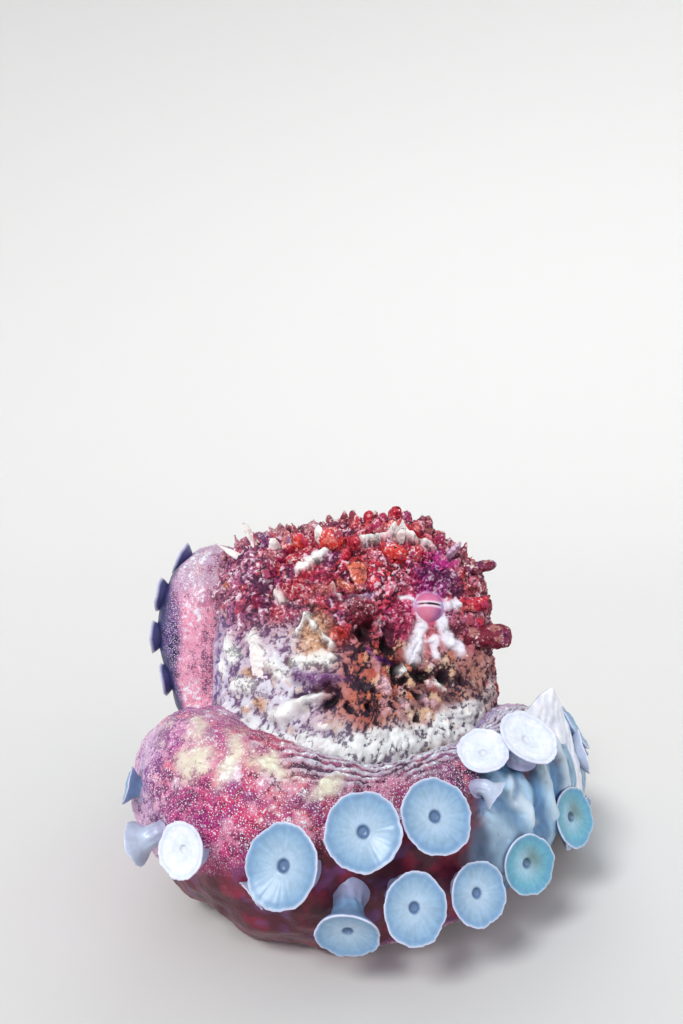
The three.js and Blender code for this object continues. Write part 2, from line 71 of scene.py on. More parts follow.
# Each stop of a route is a heading from the crown, a reach, a clearance under the arm and a roll.
ARMS = {
    "arm_right_4": {
        "parts": ("base", "front", "side", "tip"),
        "route": [
            (-172, 32, 10, 60), (-152, 60, 4, 60), (-135, 84, 0, 45), (-115, 95, 0, 20), (-99, 95, 2, 6),
            (-83, 94, 6, -2), (-67, 91, 11, -6), (-51, 89, 17, -8), (-35, 88, 22, -6), (-18, 90, 17, 0),
            (6, 100, 4, 8), (32, 118, 0, 25), (56, 127, 0, 40), (74, 127, 0, 55), (82, 118, 0, 60),
        ],
        "radii": [
            (0, 32), (.1, 35), (.2, 33), (.3, 26.5), (.42, 24.5), (.54, 22.5), (.7, 15), (.86, 8.5), (1, 2.5),
        ],
        "tall": [(0, 1.2), (.2, 1.28), (.3, 1.2), (.55, 1.2), (.75, 1.1), (1, 1)],
        "thick": [(0, 1), (.3, .86), (.6, .86), (1, 1)],
        "sizes": [(.145, 7.5), (.2, 9.5), (.25, 12.5), (.5, 12.4), (1, 1.3)],
        "steps": [(.145, 1.65), (.2, 1.15), (.25, .88), (.3, .8), (1, .86)],
        "rows": [(0, 27), (.33, 28), (.41, 48), (.58, 46), (1, 38)],
        "oral": [(0, 8), (.2, 10), (.26, 26), (.36, 38), (.45, 62), (1, 56)],
        "first": 0.145,
    },
    "arm_left_4": {
        "parts": ("base", "rise", "tip"),
        "route": [
            (172, 42, 36, 20), (163, 77, 38, 0), (161, 89, 70, 0), (155, 91, 99, 0), (143, 105, 98, 0),
            (135, 126, 72, 0), (130, 137, 36, 20), (122, 141, 4, 40), (111, 138, 0, 60), (102, 133, 0, 70),
            (96, 123, 0, 70),
        ],
        "radii": [(0, 20), (.12, 23), (.36, 23), (.55, 17), (.78, 9.5), (1, 2.5)],
        "sizes": [(0, 8), (.36, 10), (1, 1.3)],
        "steps": [(0, .95), (1, .95)],
        "rows": TIP, "first": 0.16,
    },
    "arm_right_3": {
        "route": [
            (-60, 34, 30, 20), (-40, 62, 40, 10), (-22, 76, 44, 0), (-2, 84, 34, 0), (18, 92, 10, 20),
            (38, 100, 0, 45), (58, 102, 0, 60), (76, 100, 0, 60), (85, 91, 0, 60),
        ],
        "radii": [(0, 16), (.3, 15), (.6, 11.5), (.85, 6), (1, 2.5)],
    },
    "arm_left_3": {
        "route": [
            (176, 38, 4, 60), (166, 66, 2, 60), (154, 88, 0, 45), (139, 101, 0, 45), (121, 104, 0, 55),
            (106, 102, 0, 60), (98, 93, 0, 60),
        ],
        "radii": [(0, 17), (.3, 16), (.6, 12), (.85, 6), (1, 2.5)],
    },
    "arm_right_2": {
        "route": [
            (2, 32, 6, 60), (12, 54, 2, 60), (28, 70, 0, 50), (44, 73, 0, 50), (57, 75, 3, 40), (68, 82, 13, 20),
            (67, 91, 25, 10), (55, 93, 29, 30), (41, 89, 28, 50), (30, 82, 27, 60),
        ],
        "radii": [(0, 16), (.3, 13.5), (.5, 10.5), (.75, 7.5), (1, 2.5)],
    },
    "arm_left_2": {
        "route": [
            (154, 36, 6, 60), (143, 60, 2, 60), (130, 73, 0, 50), (119, 77, 4, 40), (112, 84, 13, 20),
            (115, 93, 25, 10), (127, 94, 29, 30), (141, 90, 28, 50), (151, 82, 27, 60),
        ],
        "radii": [(0, 16), (.3, 13.5), (.5, 10.5), (.75, 7.5), (1, 2.5)],
    },
    "arm_right_1": {
        "route": [
            (50, 30, 24, 60), (60, 50, 29, 60), (72, 64, 30, 50), (83, 74, 29, 40), (89, 87, 27, 40),
            (84, 99, 25, 40), (75, 102, 24, 50),
        ],
        "radii": [(0, 14), (.3, 12.5), (.6, 9.5), (.85, 5.5), (1, 2.5)],
    },
    "arm_left_1": {
        "route": [
            (132, 30, 24, 60), (124, 48, 29, 60), (114, 62, 30, 50), (106, 74, 29, 40), (103, 87, 27, 40),
            (108, 99, 25, 40), (117, 102, 24, 50),
        ],
        "radii": [(0, 14), (.3, 12.5), (.6, 9.5), (.85, 5.5), (1, 2.5)],
    },
}
SMALL_SUCKERS = {"sizes": [(0, 5.5), (.4, 5), (1, .9)], "steps": [(0, 1.15), (1, 1.1)], "rows": TIP, "first": 0.22}

# ---- noise and measures ----------------------------------


def lattice(cell, seed):
    """A fixed pseudo-random number from 0 to 1 for each whole-number point."""
    x, y, z = (cell[..., k].astype(np.int64).astype(np.uint32) for k in range(3))
    mixed = x * np.uint32(374761393) + y * np.uint32(668265263) + z * np.uint32(1440662683)
    mixed = mixed + np.uint32(seed * 97463477 % 4294967296)
    mixed = (mixed ^ (mixed >> np.uint32(13))) * np.uint32(1274126177)
    mixed = (mixed ^ (mixed >> np.uint32(16))) * np.uint32(2246822519)
    return (mixed ^ (mixed >> np.uint32(15))).astype(float) / 4294967296


def noise(p, size, seed):
    """Smooth noise from -1 to 1, with lumps of about the given size."""
    q = p / size
    cell = np.floor(q)
    f = q - cell
    f = f * f * (3 - 2 * f)
    total = 0
    for corner in itertools.product((0, 1), repeat=3):
        weight = np.prod(np.where(np.array(corner) == 1, f, 1 - f), axis=-1)
        total = total + weight * lattice(cell + corner, seed)
    return 2 * total - 1


def rough(p, size, seed):
    """Noise from -1 to 1 with two layers of finer detail added, each half as large and half as strong."""
    return sum(noise(p, size / 2 ** k, seed + 11 * k) / 2 ** k for k in range(3)) / 1.75


def cells(p, size, seed):
    """Scattered cells: the ways to the nearest centre and the next, in sizes, and the cell's own number."""
    q = p / size
    base = np.floor(q)
    first = np.full(q.shape[:-1], 9.0)
    second = np.full(q.shape[:-1], 9.0)
    tag = np.zeros(q.shape[:-1])
    for offset in itertools.product((-1, 0, 1), repeat=3):
        cell = base + offset
        own = lattice(cell, seed)
        centre = cell + np.stack([own, lattice(cell, seed + 1), lattice(cell, seed + 2)], -1)
        away = np.linalg.norm(q - centre, axis=-1)
        nearer = away < first
        second = np.where(nearer, first, np.minimum(second, away))
        tag = np.where(nearer, own, tag)
        first = np.where(nearer, away, first)
    return first, second, tag


def domes(p, size, seed, steep):
    """Scattered grains: 1 on top and 0 in the grooves between them, and each grain's own number."""
    near, following, tag = cells(p, size, seed)
    return np.clip((following - near) * steep, 0, 1), tag


def drift(p, size, seed, kind=noise):
    """Noise from -1 to 1 along each axis, to make borders ragged."""
    return np.stack([kind(p, size, seed + k) for k in range(3)], -1)


def smooth(edge0, edge1, x):
    """0 up to the first edge, 1 past the second, with a soft step between."""
    t = np.clip((x - edge0) / (edge1 - edge0), 0, 1)
    return t * t * (3 - 2 * t)


def mix(a, b, t):
    """The way from a to b, with one share for each point."""
    t = np.asarray(t)[..., None]
    return a * (1 - t) + b * t


def unit(v):
    """The same directions with length 1."""
    v = np.asarray(v, float)
    return v / (np.linalg.norm(v, axis=-1, keepdims=True) + 1e-12)


def distance(p, place):
    """The distance of each point from a place."""
    return np.linalg.norm(p - np.array(place), axis=-1)


def to_segment(p, a, b):
    """The distance of each point from the line between two places."""
    a, b = np.array(a, float), np.array(b, float)
    t = np.clip(((p - a) @ (b - a)) / ((b - a) @ (b - a)), 0, 1)
    return np.linalg.norm(p - (a + t[..., None] * (b - a)), axis=-1)


def spread(*spans):
    """Angles in radians over spans of (from, to, count) in degrees, without repeating the shared ends."""
    return np.radians(np.concatenate([np.linspace(a, b, n, endpoint=False) for a, b, n in spans]))


def circle(count):
    """Angles round a circle, as a row."""
    return np.linspace(0, 2 * np.pi, count, endpoint=False)[None, :]


def track(stops, at):
    """The value at a place between stops of (place, value)."""
    return np.interp(at, *np.array(stops, float).T)


# ---- paint -----------------------------------------------


def linear(*srgb):
    """A colour given as 0 to 255, as the linear values that a shader takes."""
    c = np.array(srgb, float) / 255
    return np.where(c <= 0.04045, c / 12.92, ((c + 0.055) / 1.055) ** 2.4)


# Where each kind of skin lies and how far it reaches, then the colours of its creases, flesh and raised tips.
BODY_SKIN = [
    (-74, -38, 124, 22,  62, 10, 46,  166, 42, 96,  240, 216, 234),
    (-86, -20, 140, 16,  80, 30, 70,  178, 92, 136,  245, 236, 248),
    (-40, -26, 150, 19,  76, 6, 32,  200, 28, 62,  246, 206, 216),
    (-6, -29, 148, 17,  84, 6, 32,  220, 34, 52,  248, 206, 212),
    (-24, -50, 124, 16,  64, 6, 34,  204, 44, 86,  248, 178, 196),
    (16, -42, 136, 13,  44, 6, 66,  172, 20, 148,  230, 112, 206),
    (-2, -52, 116, 11,  84, 8, 48,  194, 40, 104,  242, 176, 208),
    (34, -34, 128, 11,  66, 16, 34,  172, 60, 78,  246, 224, 230),
    (30, -42, 108, 9,  80, 20, 40,  176, 90, 110,  244, 214, 222),
    (-58, -60, 92, 21,  112, 78, 120,  216, 214, 228,  248, 251, 253),
    (-88, -28, 100, 16,  112, 88, 148,  200, 194, 222,  248, 251, 255),
    (-42, -60, 110, 9,  120, 60, 60,  196, 140, 100,  252, 246, 236),
    (-24, -68, 86, 14,  32, 8, 32,  182, 92, 74,  234, 182, 162),
    (-12, -60, 102, 12,  40, 8, 20,  172, 66, 50,  224, 140, 112),
    (14, -62, 82, 16,  42, 14, 34,  152, 104, 102,  248, 236, 240),
    (37, -46, 88, 11,  66, 30, 42,  176, 128, 114,  238, 224, 220),
    (-66, -74, 64, 9,  110, 96, 128,  214, 218, 226,  250, 253, 254),
    (-34, -84, 64, 9,  110, 96, 124,  216, 220, 226,  250, 253, 254),
    (0, -78, 66, 9,  110, 94, 120,  216, 218, 222,  250, 252, 252),
    (28, -64, 68, 9,  110, 92, 116,  208, 202, 206,  248, 249, 248),
    (50, 0, 100, 34,  70, 16, 36,  166, 66, 80,  240, 214, 214),
    (0, 50, 120, 40,  70, 16, 40,  158, 56, 78,  236, 206, 212),
    (-60, 50, 90, 40,  84, 50, 64,  186, 140, 146,  248, 238, 234),
    (-98, 10, 110, 26,  76, 40, 66,  168, 110, 138,  246, 236, 244),
]
ARM_SKIN = [
    (-100, -88, 96, 20,  160, 90, 130,  216, 160, 180,  246, 236, 246),
    (-112, -98, 66, 18,  140, 80, 130,  204, 150, 186,  248, 240, 252),
    (-84, -112, 62, 22,  120, 24, 72,  196, 46, 104,  250, 236, 240),
    (-58, -120, 66, 16,  130, 20, 50,  206, 50, 74,  250, 232, 226),
    (-48, -124, 80, 14,  96, 30, 52,  176, 84, 92,  248, 240, 228),
    (-24, -118, 74, 16,  84, 22, 50,  158, 56, 84,  246, 236, 232),
    (8, -104, 76, 16,  70, 30, 50,  140, 78, 96,  242, 236, 230),
    (24, -96, 66, 14,  60, 26, 50,  124, 60, 92,  232, 222, 232),
    (-96, -60, 60, 24,  130, 50, 90,  200, 110, 140,  248, 238, 246),
    (-112, 4, 118, 14,  170, 80, 100,  232, 130, 134,  252, 226, 226),
    # The next row is painted shade: dark indigo on the left arm's far side.
    (-132, 6, 100, 15,  22, 24, 70,  64, 60, 136,  200, 204, 240),
    (-132, 6, 122, 13,  60, 44, 100,  128, 96, 160,  226, 220, 244),
    (-122, 4, 140, 16,  120, 70, 110,  196, 160, 184,  250, 244, 250),
    (-112, 30, 110, 26,  90, 40, 80,  150, 90, 130,  240, 226, 240),
    (60, -60, 60, 22,  90, 70, 90,  166, 140, 160,  240, 236, 244),
    (96, 0, 30, 40,  90, 30, 60,  176, 84, 110,  246, 226, 234),
    (0, 90, 30, 60,  84, 26, 60,  168, 76, 104,  244, 222, 230),
    (-110, 80, 40, 50,  84, 30, 70,  160, 80, 120,  244, 226, 238),
]
ARM_TINT = np.array([0.95, 1.15, 1.55])
ORAL_SKIN = linear(92, 28, 50)
ORAL_PALE = linear(94, 158, 206)
CRIMSON = linear(172, 32, 84)
RED = linear(192, 34, 62)
SCARLET = linear(214, 54, 50)
DARK_RED = linear(122, 22, 50)
PURPLE = linear(126, 72, 136)
TAN = linear(204, 156, 124)
CREAM = linear(246, 249, 247)
LILAC = linear(196, 158, 200)
SALMON = linear(210, 100, 78)
# Near black, for painted shade in pits and sunk gaps.
SHADE_BLACK = linear(22, 6, 12)
PINK = linear(236, 190, 204)
INDIGO = linear(110, 32, 124)
ORANGE = linear(206, 110, 70)


def palette(p, regions, warp=6.0, seed=5):
    """The crease, flesh and tip colours at each point, blended from the regions with ragged borders."""
    q = p + drift(p, 16, seed, rough) * warp
    total = 1e-9
    blended = [0, 0, 0]
    for x, y, z, reach, *colours in regions:
        away = distance(q, (x, y, z)) / reach
        weight = np.exp(-away ** 2) + 1e-3 / (1 + away ** 4)
        total = total + weight
        hues = (linear(*colours[k:k + 3]) for k in (0, 3, 6))
        blended = [sofar + weight[..., None] * hue for sofar, hue in zip(blended, hues)]
    return [colour / total[..., None] for colour in blended]


def tint_and_painted_light(colour, spots):
    """Mixes in one hue after another: 0 to 255 colours, each with how strongly it shows at each point. Some hues
    are the skin's own; others are painted shade and painted highlight.
    """
    for hue, amount in spots:
        colour = mix(colour, linear(*hue), amount)
    return colour


def by_number(table, tag, where):
    """Spots for stain on lumps whose own numbers fall in each row's span."""
    return [(hue, strength * where * (tag >= low) * (tag < high)) for low, high, hue, strength in table]


def by_patch(table, p, where):
    """Spots for stain in patches of noise."""
    return [(hue, strength * where * smooth(start, full, rough(p, size, seed)))
            for size, seed, start, full, hue, strength in table]


# ---- meshes ----------------------------------------------


class Pieces:
    """Vertices, faces, bake coordinates and looks of the closed grids that make one mesh."""

    def __init__(self):
        self.points, self.faces, self.uvs, self.looks = [], [], [], []
        self.count = 0

    def add_grid(self, points, looks, patch=(0, 0, 1, 1), ends=(True, True)):
        """A grid of rows by columns, closed round. ends closes its first and last rows."""
        rows, cols = points.shape[:2]
        here = np.arange(rows * cols).reshape(rows, cols) + self.count
        there = np.roll(here, -1, 1)
        u0, v0, u1, v1 = patch
        row, col = np.meshgrid(np.arange(rows - 1), np.arange(cols), indexing="ij")

        def spot(r, c):
            return np.stack([u0 + (u1 - u0) * c / cols, v0 + (v1 - v0) * r / (rows - 1)], -1)

        self.faces.extend(np.stack([here[:-1], there[:-1], there[1:], here[1:]], -1).reshape(-1, 4).tolist())
        corners = [spot(row, col), spot(row, col + 1), spot(row + 1, col + 1), spot(row + 1, col)]
        self.uvs.append(np.stack(corners, -2).reshape(-1, 2))
        self.points.append(points.reshape(-1, 3))
        flat = {}
        for name, value in looks.items():
            value = np.asarray(value, float)
            wide = (3,) if value.shape[-1:] == (3,) else ()
            flat[name] = np.broadcast_to(value, (rows, cols, *wide)).reshape(-1, *wide)
        self.looks.append(flat)
        self.count += rows * cols
        for closed, ring in zip(ends, (here[0][::-1], here[-1])):
            if closed:
                self.faces.append(ring.tolist())
                self.uvs.append(np.tile([u0, v0], (cols, 1)))

    def build(self, name, material, slot, nodes=()):
        mesh = bpy.data.meshes.new(name)
        mesh.from_pydata(np.concatenate(self.points) * MM, [], self.faces)
        mesh.polygons.foreach_set("use_smooth", np.ones(len(mesh.polygons), bool))
        layer = mesh.uv_layers.new(name="OFBake")
        layer.uv.foreach_set("vector", np.concatenate(self.uvs).astype(np.float32).ravel())
        for look in self.looks[0]:
            values = np.concatenate([part[look] for part in self.looks])
            if values.ndim == 2:
                rgba = np.ones((self.count, 4), np.float32)
                rgba[:, :3] = np.clip(values, 0, 1)
                mesh.attributes.new(look, "FLOAT_COLOR", "POINT").data.foreach_set("color", rgba.ravel())
            else:
                mesh.attributes.new(look, "FLOAT", "POINT").data.foreach_set("value", values.astype(np.float32))
        mesh.update()
        mesh.materials.append(material)
        obj = bpy.data.objects.new(name, mesh)
        bpy.context.scene.collection.objects.link(obj)
        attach(obj, "root")
        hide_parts(*nodes)


def build_grid(points, looks, name, material, slot, nodes=()):
    """A piece that is one grid."""
    pieces = Pieces()
    pieces.add_grid(points, looks)
    pieces.build(name, material, slot, nodes)


def skin_looks(*values):
    """What a skin material reads at each point, in this order."""
    return dict(zip(("crease", "flesh", "tips", "shade", "speckle", "dots"), values))


def grid_normals(points, inner):
    """The outward normal at each point of a closed grid round the inner point."""
    across = np.roll(points, -1, 1) - np.roll(points, 1, 1)
    normal = unit(np.cross(across, np.gradient(points, axis=0)))
    inward = (normal * (points - inner)).sum(-1) < 0
    return np.where(inward.mean() > 0.5, -normal, normal)


# ---- materials -------------------------------------------


class Tree:
    """A shader tree with short ways to add the nodes that the skins use."""

    def __init__(self, name, roughness, coat, subsurface):
        self.material = bpy.data.materials.new(name)
        self.material.use_nodes = True
        self.nodes = self.material.node_tree.nodes
        self.links = self.material.node_tree.links
        self.shader = self.nodes["Principled BSDF"]
        for socket, value in (
            ("Roughness", roughness), ("Coat Weight", coat), ("Coat Roughness", 0.2),
            ("Subsurface Weight", subsurface),
            ("Subsurface Radius", (1.0, 0.45, 0.3)), ("Subsurface Scale", 1.5 * MM), ("Specular IOR Level", 0.3),
        ):
            self.shader.inputs[socket].default_value = value
        self.place = self.nodes.new("ShaderNodeTexCoord").outputs["Object"]

    def put(self, socket, value):
        if isinstance(value, bpy.types.NodeSocket):
            self.links.new(value, socket)
        else:
            socket.default_value = value

    def look(self, name, output="Color"):
        node = self.nodes.new("ShaderNodeAttribute")
        node.attribute_name = name
        return node.outputs[output]

    def texture(self, kind, size, **settings):
        """A noise or cell texture whose features are size millimetres across."""
        node = self.nodes.new("ShaderNodeTex" + kind)
        node.inputs["Scale"].default_value = 1 / (size * MM)
        for key, value in settings.items():
            node.inputs[key].default_value = value
        self.links.new(self.place, node.inputs["Vector"])
        return node.outputs

    def math(self, operation, *values):
        node = self.nodes.new("ShaderNodeMath")
        node.operation = operation
        for socket, value in zip(node.inputs, values):
            self.put(socket, value)
        return node.outputs[0]

    def step(self, value, low, high, to_low=0.0, to_high=1.0):
        node = self.nodes.new("ShaderNodeMapRange")
        node.interpolation_type = "SMOOTHSTEP"
        for socket, given in zip(node.inputs, (value, low, high, to_low, to_high)):
            self.put(socket, given)
        return node.outputs[0]

    def mix(self, kind, factor, a, b):
        node = self.nodes.new("ShaderNodeMix")
        node.data_type = "RGBA"
        node.blend_type = kind
        for index, value in ((0, factor), (6, a), (7, b)):
            self.put(node.inputs[index], value)
        return node.outputs[2]

    def finish(self, colour, height, strength, depth):
        self.links.new(colour, self.shader.inputs["Base Color"])
        relief = self.nodes.new("ShaderNodeBump")
        relief.inputs["Strength"].default_value = strength
        relief.inputs["Distance"].default_value = depth * MM
        self.links.new(height, relief.inputs["Height"])
        self.links.new(relief.outputs["Normal"], self.shader.inputs["Normal"])
        return self.material


def skin_material(name, roughness, coat, subsurface, speck, dots=False):
    """Wet skin from crease through flesh to tip colour by shade, broken into specks of the given size."""
    tree = Tree(name, roughness, coat, subsurface)
    speckle = tree.look("speckle", "Fac")
    specks = tree.texture("Voronoi", speck, Randomness=1.0)
    fine = tree.texture("Noise", speck * 0.9, Detail=5.0, Roughness=0.75)
    crack = tree.texture("Noise", 3.4, Detail=4.0, Roughness=0.65)
    speck = tree.math("SUBTRACT", specks["Color"], 0.5)
    shade = tree.math("MULTIPLY_ADD", speck, speckle, tree.look("shade", "Fac"))
    grain = tree.math("SUBTRACT", fine["Fac"], 0.5)
    shade = tree.math("MULTIPLY_ADD", grain, tree.math("MULTIPLY", speckle, 2.6), shade)
    away = tree.math("ABSOLUTE", tree.math("SUBTRACT", crack["Fac"], 0.5))
    line = tree.math("MULTIPLY", tree.step(away, 0.0, 0.028, 0.42, 0.0), tree.math("MINIMUM", speckle, 1.0))
    shade = tree.math("SUBTRACT", shade, line)
    colour = tree.mix("MIX", tree.step(shade, 0.12, 0.4), tree.look("crease"), tree.look("flesh"))
    colour = tree.mix("MIX", tree.step(shade, 0.68, 0.94), colour, tree.look("tips"))
    sunk = tree.math("ADD", tree.math("MULTIPLY", specks["Distance"], 0.4), line)
    height = tree.math("SUBTRACT", fine["Fac"], sunk)
    if dots:
        scattered = tree.texture("Voronoi", 1.05, Randomness=0.8)
        tiny = tree.texture("Voronoi", 0.66, Randomness=0.9)
        big_dot = tree.step(scattered["Distance"], 0.18, 0.32, 1.0, 0.0)
        small_dot = tree.step(tiny["Distance"], 0.18, 0.32, 0.75, 0.0)
        dot = tree.math("MULTIPLY", tree.math("MAXIMUM", big_dot, small_dot), tree.look("dots", "Fac"))
        colour = tree.mix("MIX", dot, colour, (*linear(248, 232, 244), 1))
        height = tree.math("ADD", height, dot)
    return tree.finish(colour, height, 0.6, 0.4)


def plain_skin(name, roughness, coat, subsurface, uneven):
    """Smooth wet skin of its painted colour, a little uneven."""
    tree = Tree(name, roughness, coat, subsurface)
    fine = tree.texture("Noise", 2.2, Detail=4.0, Roughness=0.6)
    shaded = tree.step(fine["Fac"], 0.3, 0.7, 1 - uneven, 1.0)
    colour = tree.mix("MULTIPLY", 1.0, tree.look("paint"), shaded)
    return tree.finish(colour, fine["Fac"], 0.12, 0.4)


BODY_MATERIAL = skin_material("crusted_skin", 0.58, 0.06, 0.05, 1.25)
ARM_MATERIAL = skin_material("dotted_skin", 0.42, 0.2, 0.08, 1.6, dots=True)
SUCKER_MATERIAL = plain_skin("sucker_skin", 0.38, 0.25, 0.22, 0.14)
EYE_MATERIAL = plain_skin("eye_surface", 0.36, 0.12, 0.1, 0.1)

# ---- body ------------------------------------------------


STEP, PAD, OVERRUN = 0.5, 12, 3  # a section table's spacing, how far it goes on, and how far its form may pass it
ROUNDING = 2.6  # how far the corners of the sections are rounded
BLEND = 6.0  # how far the head and the mantle run into each other


def section_table(stops):
    """Centre and half widths at each step of height, with their corners rounded off."""
    stops = np.array(stops, float)
    z = np.arange(stops[0, 0] - PAD, stops[-1, 0] + PAD + STEP, STEP)
    kernel = np.exp(-0.5 * (np.arange(-20, 21) * STEP / ROUNDING) ** 2)
    kernel /= kernel.sum()
    columns = [np.pad(np.interp(z, stops[:, 0], stops[:, k]), 20, mode="edge") for k in range(1, 5)]
    return z, [np.convolve(column, kernel, "valid") for column in columns]


def form_depth(p, table):
    """How far inside a sectioned form each point is, in about millimetres."""
    z, columns = table
    cx, cy, rx, ry = (np.interp(p[..., 2], z, column) for column in columns)
    rx, ry = np.maximum(rx, 0.3), np.maximum(ry, 0.3)
    share = np.hypot((p[..., 0] - cx) / rx, (p[..., 1] - cy) / ry)
    depth = (1 - share) * np.minimum(rx, ry)
    cut = PAD - OVERRUN
    return np.minimum(depth, np.minimum(z[-1] - cut - p[..., 2], p[..., 2] - z[0] - cut))


TABLES = [section_table(MANTLE), section_table(HEAD)]


def body_surface(directions):
    """Where rays from the body's centre leave it."""
    near = np.full(directions.shape[:-1], 5.0)
    far = np.full(directions.shape[:-1], 130.0)
    for _ in range(22):
        middle = (near + far) / 2
        a, b = (form_depth(BODY_CENTRE + directions * middle[..., None], table) for table in TABLES)
        overlap = np.maximum(BLEND - np.abs(a - b), 0) / BLEND
        inside = np.maximum(a, b) + overlap ** 2 * BLEND / 4 > 0
        near = np.where(inside, middle, near)
        far = np.where(inside, far, middle)
    return BODY_CENTRE + directions * near[..., None]


# Pale raised marks round the right eye: from, to and half width.
EYE_BARS = [
    ((7.9, -44, 115.4), (7.2, -46, 111), 1.4), ((7.2, -46, 111), (5.4, -49.5, 104), 2.7),
    ((4.6, -50, 103), (2.6, -53, 99.5), 4.6),
    ((17.1, -43.8, 114.4), (19.5, -46.8, 106.8), 2.3), ((19.5, -46.8, 106.8), (25.5, -48, 100.5), 3.1),
    ((20, -41.2, 120.2), (27, -39.8, 119.6), 2.4), ((6.4, -41, 122.6), (-0.6, -43, 124.4), 1.5),
    ((13.6, -48, 104.7), (14.3, -51, 98.5), 2.3), ((6, -49, 104.4), (17.5, -47.4, 104.4), 1.3),
]
EYE_STRIPES = [((10.0, -50, 110), (9.5, -52, 101), 0.6), ((15.0, -50, 110), (15.5, -52, 102), 0.6)]
